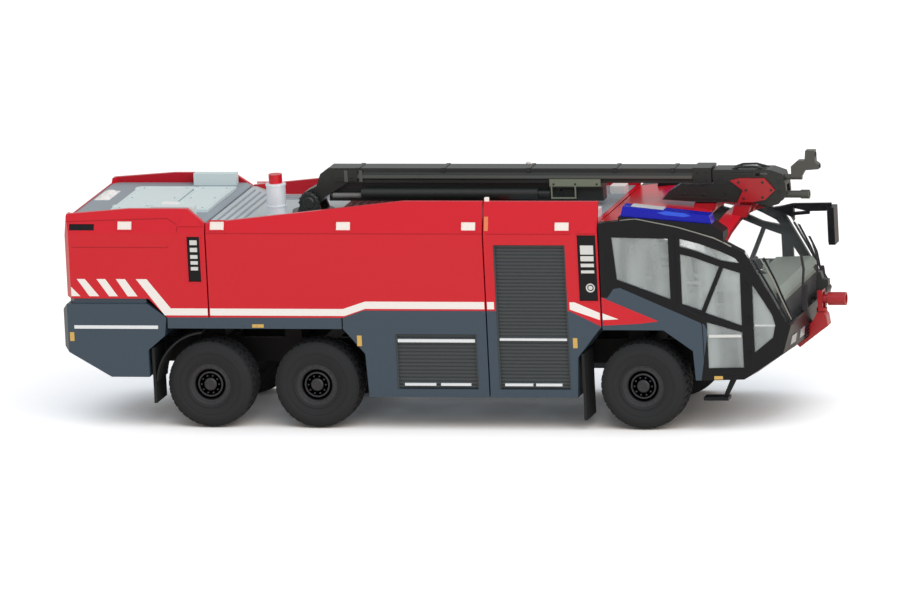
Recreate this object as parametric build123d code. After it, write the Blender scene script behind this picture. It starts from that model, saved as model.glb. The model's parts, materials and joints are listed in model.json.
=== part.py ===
"""Scale model of a six-wheeled airport fire truck with an extending boom, in millimetres.

+X is the way the truck drives, +Y its left side, +Z up. The origin is on the ground,
midway between the tail and the tip of the bumper monitor, on the centre plane.
"""
import os

from build123d import *

os.makedirs("parts", exist_ok=True)

# Overall body
half_width = 34.8        # side walls, from the centre plane
wall = 1.6               # moulded walls of the body
panel_gap = 0.5          # groove between body sections
tumble = 3.2             # how far the side walls lean in above the crease
z_crease = 70.5
z_top = 81.5             # top edge of the tank and front sections
z_notch = 74.0           # low point of the roof line behind the engine bay
z_rear_top = 78.8
z_tail_top = 77.0
z_belt_rear = 40.3       # lower edge of the red walls over the rear wheels
z_belt_mid = 43.0
z_tail_belt = 47.0
z_arch = 36.3            # underside of the wheel arch bands
z_skirt = 11.9           # underside of the lockers
z_tail_low = 18.7

# Stations along the truck
x_tail = -136.2          # rear face of the red body
x_bumper = -138.0        # rear face of the grey tail
x_rear_split = -83.8     # groove behind the tank section
x_front_split = 16.9     # groove ahead of the tank section
x_cab = 58.7             # rear of the cab
x_tail_end = -106.6      # front face of the tail skirt
x_arch_rear = -98.8      # rear end of the rear arch band
x_arch_front = -35.2     # front end of the rear arch band
x_roof_rise = -12.3      # where the tank's roof line becomes level
tail_slope = 6.5         # run of the slanted step down in the tail's belt line
arch_run = 7.7           # run of the slanted edges beside the wheel arches
corner_run = 2.4         # rear corners of the body, cut off along the truck
corner_depth = 4.0       # and across it

# Running gear
tyre_radius = 15.7
tyre_width = 13.6
tyre_edge_inset = 1.2    # tyre's outer face inside the body side
tyre_sides = 48          # flats round a tyre, too small to see
rim_radius = 7.6
hub_radius = 4.4
axle_radius = 1.0
axle_clearance = 0.06
x_mid_axle = -46.3
bogie_spacing = 38.9
wheelbase = 118.1        # middle axle to front axle
wheel_y = half_width - tyre_edge_inset - tyre_width / 2
rear_axle_x = x_mid_axle - bogie_spacing
front_axle_x = x_mid_axle + wheelbase

# Chassis
rail_inner = 8.0         # inner face of each frame rail, from the centre plane
rail_width = 2.4
rail_low = 19.2
rail_height = 8.6
locker_inner = 14.0      # inner wall of the lockers, from the centre plane
mount_radius = 1.6       # screw holes that hold the model to a plinth
mount_depth = 6.0
mount_places = [-20.0, 30.0]

# Decks
deck = 1.4
z_deck_rear = 75.0
z_deck_mid = 70.6
z_deck_front = 74.2

# Shutters
shutter_low_x = (-16.4, 13.1)
shutter_low_z = (14.8, 34.5)
shutter_tall_x = (20.5, 46.4)
shutter_tall_z = (14.8, 66.6)
shutter_inset = 0.9
slat_pitch = 1.25
slat_relief = 0.3

# Pockets for lamps and light panels
pocket_depth = 0.9
panel_thickness = 0.5
lamp_z = (71.6, 74.7)
lamp_length = 5.6

# Cab
cab_wall = 1.5
z_cab_low = 18.4
cab_front_half = half_width - 1.8   # half width at the front posts
cab_taper_x = 95.0       # where the sides start to draw in
arch_front_x = 91.4      # front edge of the wheel arch
z_cab_floor = 37.9
z_windscreen = 38.5
roof_rim = 3.5           # width of the black frame on the roof, along each side
x_glass_top = 103.6      # rear edge of the windscreen, where it meets the roof
skylight_x = (92.6, 97.8)   # clear light in the roof, between the cradle and the front rail
skylight_half = 17.0
glass = 0.8

# Boom
boom_half = 4.0
boom_wall = 0.9
boom_pivot_x = -53.0
boom_pivot_z = 75.7
boom_low = 82.5
boom_high = 87.7
boom_rear_x = -45.8
boom_front_x = 92.9
boom_fit = 0.25          # running gap between the two boom sections
inner_rear_x = 12.0
head_x = boom_front_x + 0.6   # rear face of the boom's head
cheek_clearance = 0.3
pin_radius = 1.2
pin_clearance = 0.06
turntable_radius = 7.5
spigot_radius = 3.0
spigot_depth = 3.0
nozzle_pivot = (113.0, 77.8)
nozzle_tip_x = 127.0
cradle_seat = 75.3       # top of the pad under the boom's head

# Bumper monitor
monitor_x = 129.6
monitor_z = 40.4
monitor_tip_x = 138.5
monitor_radius = 2.35
z_monitor_seat = 36.0


def prism_y(points, y_low, y_high):
    """A solid with this outline in X and Z, from y_low to y_high."""
    face = make_face(Polyline(*points, close=True))
    return extrude(Plane.XZ.offset(-y_high) * face, amount=y_high - y_low)


def prism_x(points, x_low, x_high):
    """A solid with this outline in Y and Z, from x_low to x_high."""
    face = make_face(Polyline(*points, close=True))
    return extrude(Plane.YZ.offset(x_low) * face, amount=x_high - x_low)


def prism_z(points, z_low, z_high):
    """A solid with this outline in X and Y, from z_low to z_high."""
    face = make_face(Polyline(*points, close=True))
    return extrude(Plane.XY.offset(z_low) * face, amount=z_high - z_low)


def block(x_low, x_high, y_low, y_high, z_low, z_high):
    corner = (Align.MIN, Align.MIN, Align.MIN)
    size = Box(x_high - x_low, y_high - y_low, z_high - z_low, align=corner)
    return Pos(x_low, y_low, z_low) * size


def rod_x(y, z, radius, x_low, x_high):
    """A round bar along X."""
    return Pos((x_low + x_high) / 2, y, z) * Rot(0, 90, 0) * Cylinder(radius, x_high - x_low)


def rod_y(x, z, radius, y_low, y_high):
    """A round bar along Y."""
    return Pos(x, (y_low + y_high) / 2, z) * Rot(90, 0, 0) * Cylinder(radius, y_high - y_low)


def rod_z(x, y, radius, z_low, z_high):
    """A round bar along Z."""
    return Pos(x, y, (z_low + z_high) / 2) * Cylinder(radius, z_high - z_low)


def both_sides(piece):
    """The piece on the right side, and its mirror image on the left."""
    return Compound(children=[*piece.solids(), *mirror(piece, about=Plane.XZ).solids()])


def save(shape, name):
    """Writes one node. Several solids stay apart in one file."""
    solids = shape.solids() if not isinstance(shape, list) else [s for p in shape for s in p.solids()]
    out = solids[0] if len(solids) == 1 else Compound(children=list(solids))
    out.label = name
    export_step(out, f"parts/{name}.step")


# The body's cross-section, and the places that its sections share
def body_section(x_low, x_high, inset):
    """The body as a long prism: upright sides that lean in above the crease."""
    high = z_top + 6
    side = half_width - inset
    lean = tumble * (high - z_crease) / (z_top - z_crease)
    points = [
        (side, 0), (side, z_crease), (side - lean, high),
        (lean - side, high), (-side, z_crease), (-side, 0),
    ]
    return prism_x(points, x_low, x_high)


half_gap = panel_gap / 2
engine_front = x_rear_split - half_gap
tank_rear = x_rear_split + half_gap
tank_front = x_front_split - half_gap
front_rear = x_front_split + half_gap
front_front = x_cab - panel_gap
x_belt_rise = x_arch_front + arch_run
x_wedge = front_front - 11.0
z_wedge = z_belt_mid - 5.4
tail_belt_front = x_tail_end + 1.0


def corner_cut(x_rear, inset):
    """The plan of a body whose two rear corners are cut off."""
    side = half_width - inset
    start = x_rear + inset
    return [
        (start + corner_run, -side), (200, -side), (200, side), (start + corner_run, side),
        (start, side - corner_depth), (start, corner_depth - side),
    ]


def wall_ring(outline, x_low, x_high, plan=None):
    """Side, front and rear walls of one body section, open above and below."""
    outer = prism_y(outline, -half_width, half_width) & body_section(x_low, x_high, 0)
    inner = body_section(x_low + wall, x_high - wall, wall)
    if plan:
        outer &= prism_z(plan(0), 0, z_top + 6)
        inner &= prism_z(plan(wall), 0, z_top + 6)
    return outer - inner


def slot_cut(x_range, z_range, depth):
    """The recess of a roller shutter, cut in from both sides."""
    right = block(*x_range, -half_width - 1, depth - half_width, *z_range)
    return right + mirror(right, about=Plane.XZ)


def pocket(x_low, x_high, z_low, z_high, inset=0.0, depth=pocket_depth):
    """The skin of the body within this window, on both sides."""
    shell = body_section(x_low, x_high, inset) - body_section(x_low - 1, x_high + 1, depth)
    return shell & block(x_low, x_high, -half_width, half_width, z_low, z_high)


lamp_places = [-113.1, -79.4, -33.5, 11.8, 45.5]
lamp_windows = [(x - lamp_length / 2, x + lamp_length / 2, *lamp_z) for x in lamp_places]
rear_panel = (-90.5, -85.9, 53.1, 69.3)
front_panel = (50.9, 57.6, 46.7, 70.2)
tail_slot = (x_tail + corner_run + 0.4, -124.3, 71.4, 73.6)


def with_pockets(walls, low, high):
    """The walls with the pockets of the lamps and light panels that lie between these stations."""
    for window in [*lamp_windows, rear_panel, front_panel, tail_slot]:
        if low < window[0] < high:
            walls -= pocket(*window)
    return walls


def trough(x_low, x_high, z_low=z_deck_front):
    """The space above a deck, which runs on through the cross walls."""
    space = body_section(x_low - 1, x_high + 1, wall)
    return space & block(x_low - 1, x_high + 1, -half_width, half_width, z_low, z_top + 5)


def engine_body():
    outline = [
        (x_tail, z_tail_belt), (x_tail, z_crease - 1.5), (x_tail + 1.6, z_tail_top),
        (x_tail + 24.2, z_rear_top), (engine_front - 6.4, z_rear_top), (engine_front, z_notch),
        (engine_front, z_belt_rear), (tail_belt_front + tail_slope, z_belt_rear),
        (tail_belt_front, z_tail_belt),
    ]
    walls = wall_ring(outline, x_tail, engine_front, lambda inset: corner_cut(x_tail, inset))
    inner = half_width - wall - corner_depth
    walls -= block(x_tail - 1, x_tail + wall + 1, -inner, inner, z_deck_rear + 0.4, z_top)
    walls -= trough(engine_front - wall, engine_front, z_notch - deck)
    return with_pockets(walls, x_tail, engine_front)


def tank_body():
    outline = [
        (tank_rear, z_belt_rear), (tank_rear, z_notch), (x_roof_rise, z_top), (tank_front, z_top),
        (tank_front, z_belt_mid), (x_belt_rise, z_belt_mid), (x_arch_front, z_belt_rear),
    ]
    walls = wall_ring(outline, tank_rear, tank_front) - trough(tank_rear + wall + 1, tank_front)
    walls -= trough(tank_rear, tank_rear + wall, z_deck_mid - deck)
    return with_pockets(walls, tank_rear, tank_front)


def front_body():
    outline = [
        (front_rear, z_belt_mid), (front_rear, z_top), (front_front, z_top),
        (front_front, z_wedge), (x_wedge, z_belt_mid),
    ]
    walls = wall_ring(outline, front_rear, front_front) - trough(front_rear, front_front)
    walls -= slot_cut(shutter_tall_x, shutter_tall_z, wall + 1)
    return with_pockets(walls, front_rear, front_front)


def tail_skirt():
    z_ledge = z_tail_belt - 2.0
    x_step = x_tail_end + 0.5
    outline = [
        (x_bumper, 42.4), (x_bumper, 29.0), (x_bumper + 17.5, z_tail_low), (x_tail_end, z_tail_low),
        (x_tail_end, 28.4), (x_arch_rear - 1.5, z_arch - 2.7), (x_arch_rear - 0.6, z_belt_rear),
        (x_step + tail_slope, z_belt_rear), (x_step, z_ledge), (x_bumper + 2.4, z_ledge),
    ]
    face = make_face(Polyline(*outline, close=True))
    hollow = offset(face, amount=-wall, kind=Kind.INTERSECTION)
    outer = extrude(Plane.XZ.offset(-half_width) * face, amount=2 * half_width)
    inner = extrude(Plane.XZ.offset(wall - half_width) * hollow, amount=2 * (half_width - wall))
    outer &= prism_z(corner_cut(x_bumper, 0), 0, z_tail_belt)
    inner &= prism_z(corner_cut(x_bumper, wall), 0, z_tail_belt)
    skirt = outer - inner
    lip = prism_z(corner_cut(x_tail, wall / 2), z_ledge, z_tail_belt)
    return skirt + (lip & block(x_tail, x_tail_end, -half_width, half_width, 0, z_tail_belt))


def bogie_floor():
    """The floor over the rear wheels, with the band that edges the arches."""
    low, high = x_arch_rear - 0.2, x_arch_front - panel_gap
    slab = block(low, high, -half_width, half_width, z_arch, z_belt_rear)
    inside = block(low - 1, high + 1, wall - half_width, half_width - wall, z_arch - 1, z_belt_rear - deck)
    return slab - inside


def locker(outline):
    """A hollow locker beside the frame."""
    face = make_face(Polyline(*outline, close=True))
    hollow = offset(face, amount=-wall, kind=Kind.INTERSECTION)
    depth = half_width - locker_inner
    outer = extrude(Plane.XZ.offset(locker_inner) * face, amount=depth)
    inner = extrude(Plane.XZ.offset(locker_inner + wall) * hollow, amount=depth - 2 * wall)
    return outer - inner


def tank_lockers():
    outline = [
        (x_arch_front, z_belt_rear), (x_arch_front, z_arch), (x_arch_front + arch_run - 0.1, 27.4),
        (x_arch_front + arch_run + 0.7, z_skirt), (tank_front, z_skirt),
        (tank_front, z_belt_mid), (x_belt_rise, z_belt_mid),
    ]
    return both_sides(locker(outline) - slot_cut(shutter_low_x, shutter_low_z, wall + 1))


def front_lockers():
    outline = [
        (front_rear, z_belt_mid), (front_rear, z_skirt),
        (front_front - 9.6, z_skirt), (front_front - 8.9, 26.4),
        (front_front - 0.9, z_arch), (front_front, z_arch + 0.8),
        (front_front, z_wedge), (x_wedge, z_belt_mid),
    ]
    return both_sides(locker(outline) - slot_cut(shutter_tall_x, shutter_tall_z, wall + 1))


def shutter(x_range, z_range):
    """A roller shutter of joined slats, standing in its recess."""
    back = wall - half_width + 0.6
    front = shutter_inset - half_width
    z_low, z_high = z_range
    count = int((z_high - z_low) / slat_pitch)
    pitch = (z_high - z_low) / count
    points = [(back, z_low)]
    for i in range(count):
        z = z_low + i * pitch
        points += [(front + slat_relief, z), (front, z + 0.4 * pitch), (front, z + 0.8 * pitch)]
    points += [(front + slat_relief, z_high), (back, z_high)]
    return prism_x(points, *x_range)


def shutter_rails():
    """The bright bars on the shutters: one across the low shutter, and a lift bar in each half."""
    bars = []
    for low, high, z, height in [
        # start and end, height of the lower edge, height of the bar
        (shutter_low_x[0] + 0.8, shutter_low_x[1] - 0.8, shutter_low_z[1] - 2.9, 1.1),
        (shutter_low_x[0] + 2.6, shutter_low_x[0] + 13.9, shutter_low_z[0] + 1.2, 0.9),
        (shutter_low_x[1] - 13.8, shutter_low_x[1] - 2.9, shutter_low_z[0] + 1.2, 0.9),
        (shutter_tall_x[0] + 2.0, shutter_tall_x[0] + 12.1, shutter_tall_z[0] + 1.2, 0.9),
        (shutter_tall_x[1] - 12.7, shutter_tall_x[1] - 3.3, shutter_tall_z[0] + 1.2, 0.9),
        (shutter_tall_x[0] + 0.8, shutter_tall_x[1] - 0.8, shutter_low_z[1] - 2.2, 0.8),
    ]:
        back = shutter_inset - half_width
        bars.append(both_sides(block(low, high, back - 0.7, back, z, z + height)))
    return bars


def deck_plate(outline):
    """A roof deck with this outline in X and Z, which fills a body section from wall to wall."""
    low, high = min(x for x, z in outline), max(x for x, z in outline)
    return body_section(low, high, wall) & prism_y(outline, -half_width, half_width)


def light_panel(window, bars):
    """A dark panel low in its pocket, with light bars standing on it."""
    x_low, x_high, z_low, z_high = window
    sunk = pocket_depth - panel_thickness
    plate = pocket(*window, inset=sunk)
    lights = [pocket(x_low + 1, x_high - 1, z, z + height, depth=sunk) for z, height in bars]
    return plate, lights


save(engine_body(), "engine_bay_walls")
save(tank_body(), "tank_walls")
save(front_body(), "front_body_walls")
save(tail_skirt(), "tail_skirt")
save(bogie_floor(), "bogie_floor")
save(tank_lockers(), "tank_lockers")
save(front_lockers(), "front_lockers")
save(both_sides(shutter(shutter_low_x, shutter_low_z)), "low_shutters")
save(both_sides(shutter(shutter_tall_x, shutter_tall_z)), "tall_shutters")
save(shutter_rails(), "shutter_rails")
under_rear = z_deck_rear - deck
engine_deck = deck_plate([
    (x_tail + wall, under_rear), (x_tail + wall, z_deck_rear), (engine_front - 1.6, z_deck_rear),
    (engine_front, z_notch), (engine_front, z_notch - deck), (engine_front - wall, z_notch - deck),
    (engine_front - wall, under_rear),
])
save(engine_deck & prism_z(corner_cut(x_tail, wall), 0, z_top), "engine_deck")
under_mid = z_deck_mid - deck
tank_deck = deck_plate([
    (tank_rear, under_mid), (tank_rear, z_notch - 0.4), (tank_rear + 1.4, z_notch - 0.4),
    (tank_rear + 8.6, z_deck_mid), (tank_front - wall, z_deck_mid), (tank_front - wall, under_mid),
])
spigot_hole = rod_z(boom_pivot_x, 0, spigot_radius + pin_clearance, z_deck_mid - 5, z_deck_mid + 5)
save(tank_deck - spigot_hole, "tank_deck")
front_rear_in, front_front_in = front_rear + wall, front_front - wall
save(deck_plate([
    (front_rear_in, z_deck_front - deck), (front_rear_in, z_deck_front),
    (front_front_in, z_deck_front), (front_front_in, z_deck_front - deck),
]), "front_deck")
save([pocket(*window, depth=panel_thickness + 0.3) for window in lamp_windows], "side_lamps")

# Light panels: height of each light bar's lower edge, and of the bar
rear_bars = [(57.2, 1.2), (59.3, 1.2), (61.4, 1.3), (63.8, 1.5), (66.3, 1.7)]
front_bars = [(56.6, 1.0), (58.8, 1.2), (60.9, 1.8), (63.3, 3.2)]
rear_plate, rear_lights = light_panel(rear_panel, rear_bars)
front_plate, front_lights = light_panel(front_panel, front_bars)
slot_plate = pocket(*tail_slot, inset=pocket_depth - panel_thickness)
save([rear_plate, front_plate, slot_plate], "light_panels")
save([*rear_lights, *front_lights], "warning_lights")

# Roof fittings
hatches = []
for x_low, x_high, y_half, height in [
    # start and end, half width, height above the deck
    (-122.0, -101.2, 20.0, 1.0), (-100.4, -86.4, 20.0, 1.0),
]:
    hatches.append(block(x_low, x_high, -y_half, y_half, z_deck_rear, z_deck_rear + height))
locker_wall = half_width - tumble * (z_rear_top - z_crease) / (z_top - z_crease) - wall
for side in (-1, 1):
    inner, outer = sorted((side * (locker_wall - 3.6), side * (locker_wall - 0.2)))
    hatches.append(block(-104.0, -88.4, inner, outer, z_deck_rear, z_rear_top + 0.4))
save(hatches, "roof_hatches")
stack_x, stack_y, stack_radius, stack_top = -63.2, -12.0, 3.4, 84.0
stack = rod_z(stack_x, stack_y, stack_radius, z_deck_mid, stack_top)
stack += rod_z(stack_x, stack_y, stack_radius + 0.5, z_deck_mid, z_deck_mid + 1.2)
save(stack, "exhaust_stack")
save(rod_z(stack_x, stack_y, stack_radius - 1.0, stack_top, stack_top + 3.2), "stack_cap")

# Chassis with its axle hangers, outriggers, body mounts and two screw bosses
rail_outer = rail_inner + rail_width
rail_high = rail_low + rail_height
rail_front = arch_front_x - 0.9
hanger_low = tyre_radius - 3.0
axle_places = [rear_axle_x, x_mid_axle, front_axle_x]


def chassis():
    rails = block(x_tail_end, rail_front, rail_inner, rail_outer, rail_low, rail_high)
    frame = rails + mirror(rails, about=Plane.XZ)
    for x in axle_places:
        frame += block(x - 3, x + 3, -rail_outer, rail_outer, rail_low + 1, rail_high)
        hanger = block(x - 3, x + 3, rail_inner, rail_outer, hanger_low, rail_low)
        frame += hanger + mirror(hanger, about=Plane.XZ)
        frame -= rod_y(x, tyre_radius, axle_radius + axle_clearance, -rail_outer - 1, rail_outer + 1)
    for x in mount_places:
        frame += block(x - 4, x + 4, -locker_inner, locker_inner, rail_low, rail_high)
        frame -= rod_z(x, 0, mount_radius, rail_low - 1, rail_low + mount_depth)
    for x in (x_front_split - 18.9, shutter_tall_x[1] - 0.4):
        frame += block(x - 3, x + 3, -locker_inner, locker_inner, rail_low + 2, rail_high)
    floor = z_belt_rear - deck
    for x, z_seat in [(rear_axle_x - 2.8, floor), (x_mid_axle - 13.7, floor), (x_cab + 6.3, z_arch)]:
        frame += block(x - 3, x + 3, -rail_outer, rail_outer, rail_high - 2, z_seat)
    return frame


save(chassis(), "chassis")


# Wheels
def tyre(x, y):
    """A tyre with rounded shoulders, its outline turned in flats, and a round bore that fits the rim."""
    half = tyre_width / 2
    sections = []
    for offset_y, inset in [
        # place across the tyre, how far its surface lies inside the tread
        (-half, 2.4), (1.3 - half, 0.5), (2.4 - half, 0.0), (half - 2.4, 0.0), (half - 1.3, 0.5), (half, 2.4),
    ]:
        plane = Plane(origin=(x, y + offset_y, tyre_radius), x_dir=(1, 0, 0), z_dir=(0, 1, 0))
        turn = 180 / tyre_sides
        outline = RegularPolygon(tyre_radius - inset, tyre_sides, major_radius=False, rotation=turn)
        sections.append(plane * outline)
    return loft(sections, ruled=True) - rod_y(x, tyre_radius, rim_radius, y - half - 1, y + half + 1)


def rim(x, y):
    """A dished rim: its outer side is sunk around a raised hub."""
    half = tyre_width / 2 - 0.8
    line = [
        (0, 0.8 - half), (hub_radius, 1.2 - half),
        (hub_radius + 0.2, 3.2 - half), (hub_radius + 1.0, 3.2 - half),
        (hub_radius + 1.2, 0.4 - half), (rim_radius, -half), (rim_radius, half - 1.5), (0, half - 1.5),
    ]
    profile = make_face(Polyline(*line, close=True))
    return Pos(x, y, tyre_radius) * revolve(profile, axis=Axis.Y)


for place, x in zip(["rear", "middle", "front"], axle_places):
    right = rim(x, -wheel_y)
    axle = rod_y(x, tyre_radius, axle_radius, -wheel_y, wheel_y)
    save(right + mirror(right, about=Plane.XZ) + axle, f"{place}_wheelset")
    save(both_sides(tyre(x, -wheel_y)), f"{place}_tyres")

# Cab: the outside is a bowed nose under a dished roof
cab_noses = [
    # height, front edge at the posts, front edge on the centre plane
    (z_cab_low, 108.4, 111.5), (27.7, 122.7, 125.0), (37.7, 125.9, 126.2),
    (53.2, 117.3, 127.0), (61.4, 112.7, 124.8), (80.0, 102.3, 117.0),
]
cab_roofs = [
    # station, height at the sides, height on the centre plane
    (x_cab - 2, 74.2, 74.0), (72.0, 75.9, 74.9), (87.0, 72.8, 74.0),
    (101.0, 68.5, 71.8), (112.7, 61.4, 69.2), (135.0, 48.0, 62.0),
]
bow = [-1.0, -0.6, -0.2, 0.2, 0.6, 1.0]   # places across a bowed section, as shares of its half width
arch_cut = [
    (x_cab - 20, -1), (x_cab - 20, z_arch), (80.5, z_arch), (arch_front_x - 0.6, 28.9),
    (arch_front_x, z_cab_low), (arch_front_x, -1),
]


def cab_volume(inset):
    """The cab's outside as a solid, or with this inset the space inside a wall that thick."""
    side = half_width - inset
    post = cab_front_half - inset
    rear = x_cab + inset
    cover = half_width + 1
    levels = []
    for z, side_x, centre_x in cab_noses:
        nose = [(centre_x - inset - (centre_x - side_x) * share**2, post * share) for share in bow]
        line = [(cab_taper_x, -side), *nose, (cab_taper_x, side), (rear, side), (rear, -side)]
        levels.append(Plane.XY.offset(z) * make_face(Polyline(*line, close=True)))
    covers = []
    for x, side_z, centre_z in cab_roofs:
        top = [(cover * share, centre_z - inset - (centre_z - side_z) * share**2) for share in bow]
        covers.append(Plane.YZ.offset(x) * make_face(Polyline((-cover, 0), *top, (cover, 0), close=True)))
    return loft(levels, ruled=True) & loft(covers, ruled=True)


def cab_shell():
    outer = cab_volume(0) - prism_y(arch_cut, -half_width - 1, half_width + 1)
    floor_line = [
        (x_cab - 20, -1), (x_cab - 20, z_cab_floor), (81.1, z_cab_floor), (arch_front_x + 0.9, 29.7),
        (arch_front_x + cab_wall, z_cab_low + cab_wall), (140, z_cab_low + cab_wall), (140, -1),
    ]
    return outer - (cab_volume(cab_wall) - prism_y(floor_line, -half_width - 1, half_width + 1))


shell = cab_shell()
wide = half_width + 2
rim_inner = half_width - roof_rim
roof_line = [(50, 71.2), (72, 72.0), (x_glass_top, 62.0), (x_glass_top, 95), (50, 95)]
roof_zone = prism_y(roof_line, -rim_inner, rim_inner)
nose_zone = prism_y([(140, z_windscreen), (124.6, z_windscreen), (101.5, 80), (140, 80)], -wide, wide)
top_zone = block(x_glass_top, 140, -rim_inner, rim_inner, z_windscreen, 95)
bumper_line = [(109.4, 0), (109.4, 33.0), (123.4, z_windscreen), (140, z_windscreen), (140, 0)]
bumper_zone = prism_y(bumper_line, -wide, wide)
belt = [
    (50, 48.4), (60.9, 47.8), (63.2, 51.0), (65.6, 51.4),
    (95.3, 38.4), (96.4, 35.8), (93.2, z_cab_low - 1), (50, z_cab_low - 1),
]
belt_zone = prism_y(belt, -wide, cab_wall - half_width) + prism_y(belt, half_width - cab_wall, wide)

windows = {
    "rear": [(63.3, 69.4), (83.6, 69.0), (83.6, 47.4), (64.6, 54.4)],
    "upper": [
        (87.7, 69.0), (94.6, 67.3), (101.9, 64.4), (107.0, 61.9),
        (108.6, 60.0), (101.9, 61.2), (94.6, 64.3), (87.7, 66.2),
    ],
    "middle": [(87.7, 63.5), (92.8, 62.3), (101.4, 59.0), (94.5, 43.4), (87.7, 45.8)],
    "front": [(102.8, 58.5), (108.6, 56.6), (108.6, 37.9), (95.9, 42.6)],
    "lower": [(96.2, 39.2), (108.6, 35.5), (108.6, 22.8), (96.2, 22.8)],
    "quarter": [(112.7, 52.6), (116.6, 46.4), (119.4, 41.6), (120.4, 38.0), (119.4, 33.6), (112.7, 28.2)],
}
openings = prism_y(windows["rear"], -wide, wide)
for name in ["upper", "middle", "front", "lower", "quarter"]:
    openings += prism_y(windows[name], -wide, wide)
pane_inner = cab_front_half - 3.0
openings -= block(50, 140, -pane_inner, pane_inner, 0, 95)

skylight = block(*skylight_x, -skylight_half, skylight_half, 60, 95)
roof = (shell & roof_zone) - skylight
rest = shell - roof_zone
windscreen = (rest & nose_zone) + (rest & top_zone)
roof_light = (cab_volume(0.2) - cab_volume(0.2 + glass)) & skylight
rest = rest - nose_zone - top_zone
bumper = (rest & bumper_zone) - openings
rest -= bumper_zone
side_panels = (rest & belt_zone) - openings
frame = (rest - belt_zone) - openings
panes = (cab_volume(0.2) - cab_volume(0.2 + glass)) & openings
panes -= prism_y(arch_cut, -wide, wide)
save(roof, "cab_roof")
save([windscreen, roof_light], "windscreen")
save(bumper, "front_bumper")
save(side_panels, "cab_side_panels")
save(frame, "cab_frame")
save(panes, "side_glazing")

# Cab interior, seen through the glass
floor_top = z_cab_floor + 1.0
lining = 0.9
inside = cab_volume(cab_wall + 0.05)
fittings = block(x_cab + cab_wall + 0.1, 121.0, -wide, wide, z_cab_floor, floor_top)
fittings += block(x_cab + cab_wall + 0.1, x_cab + cab_wall + 0.1 + lining, -wide, wide, z_cab_floor, 71.0)
dash_line = [
    (106.0, 45.6), (107.5, 48.4), (120.6, 48.8), (122.6, 46.6),
    (119.6, floor_top), (111.0, floor_top), (110.0, 43.0),
]
dash = prism_y(dash_line, -wide, wide)
lining_line = [
    (x_cab + 1, z_cab_floor), (x_cab + 1, 53.4), (64.6, 53.4),
    (84.6, 46.0), (95.4, 42.0), (95.4, z_cab_floor),
]
lining_y = cab_wall + 0.05 - half_width
side_lining = prism_y(lining_line, lining_y, lining_y + lining)
fittings += dash + side_lining + mirror(side_lining, about=Plane.XZ)
save(fittings & inside, "cab_interior")
seat_places = [(97.0, 0.0), (90.0, -21.0), (90.0, 21.0), (70.0, -12.0), (70.0, 12.0)]
seat_side = [(-5.5, 0), (-5.5, 19), (-3.2, 20), (-2.2, 9.0), (5.5, 8.4), (6.0, 6.0), (3.5, 5.4), (3.0, 0)]
seats = []
for x, y in seat_places:
    outline = [(x + dx, floor_top + dz) for dx, dz in seat_side]
    seats.append(prism_y(outline, y - 5.5, y + 5.5))
save(seats, "seats")
wheel_plane = Plane(origin=(105.2, 0, 51.6), z_dir=(-0.85, 0, 0.5))
hoop = extrude(RegularPolygon(4.2, 12) - RegularPolygon(3.4, 12), amount=0.8)
column = Pos(0, 0, -3.5) * Box(1.2, 1.2, 7.4)
save(wheel_plane * (hoop + Pos(0, 0, 0.4) * Box(0.8, 7.4, 0.6) + column) - dash, "steering_wheel")

# Roof edge light bars on black bases that follow the roof
outer_cab = cab_volume(0)
bar_y = (1.4 - half_width, 6.8 - half_width)
lens = [(66.6, 76.7), (67.6, 80.3), (98.4, 77.0), (99.2, 74.1)]
base_y = (0.6 - half_width, 8.4 - half_width)
base = [
    (65.8, 73.8), (66.0, 76.7), (99.2, 74.1), (103.4, 71.2), (103.4, 66.9),
    (101.0, 68.1), (87.0, 72.4), (72.0, 75.5),
]
save(both_sides(prism_y(lens, *bar_y)), "roof_light_bars")
save(both_sides(prism_y(base, *base_y) - outer_cab), "light_bar_bases")

# Cradle that carries the boom's head over the cab
cradle_pad = [
    (86.4, 70.0), (92.0, 70.0), (94.4, cradle_seat - 1.0), (94.4, cradle_seat), (86.4, cradle_seat),
]
cradle_leg = [(98.2, 66.0), (103.0, 66.0), (107.2, cradle_seat - 0.6), (101.2, cradle_seat - 0.6)]
leg = prism_y(cradle_leg, -6.6, -3.8) - outer_cab
save([prism_y(cradle_pad, -5.0, 5.0) - outer_cab, both_sides(leg)], "boom_cradle")

# Turntable with two cheeks that carry the boom's pin
pin_x, pin_z = boom_pivot_x, boom_pivot_z
table_low = z_deck_mid + 0.3
table_high = z_deck_mid + 1.4
cheek_low = boom_half + cheek_clearance
cheek_high = cheek_low + 1.4


def turntable():
    table = rod_z(pin_x, 0, turntable_radius, table_low, table_high)
    table += rod_z(pin_x, 0, spigot_radius, z_deck_mid - spigot_depth, table_low)
    outline = [
        (pin_x - 4.5, table_high), (pin_x - 2.6, pin_z + 1.4), (pin_x - 1.2, pin_z + 2.7),
        (pin_x + 1.2, pin_z + 2.7), (pin_x + 2.6, pin_z + 1.4), (pin_x + 4.5, table_high),
    ]
    cheek = prism_y(outline, cheek_low, cheek_high)
    table += cheek + mirror(cheek, about=Plane.XZ)
    table += rod_y(pin_x, pin_z, pin_radius, -cheek_high - 0.5, cheek_high + 0.5)
    return table


save(turntable(), "boom_turntable")

# Boom: an outer section on the pin, and an inner one that slides in it
collar_x = (34.3, 53.2)     # clamp that carries the front of the extension ram
sleeve_x = boom_rear_x + 10.4
rib_z = (83.5, 86.2)        # the raised band along each side of the outer section
rib_depth = 0.5
keel_half = 1.4             # the girder under the outer section, with a ram on each side
keel_low = 75.4


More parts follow.
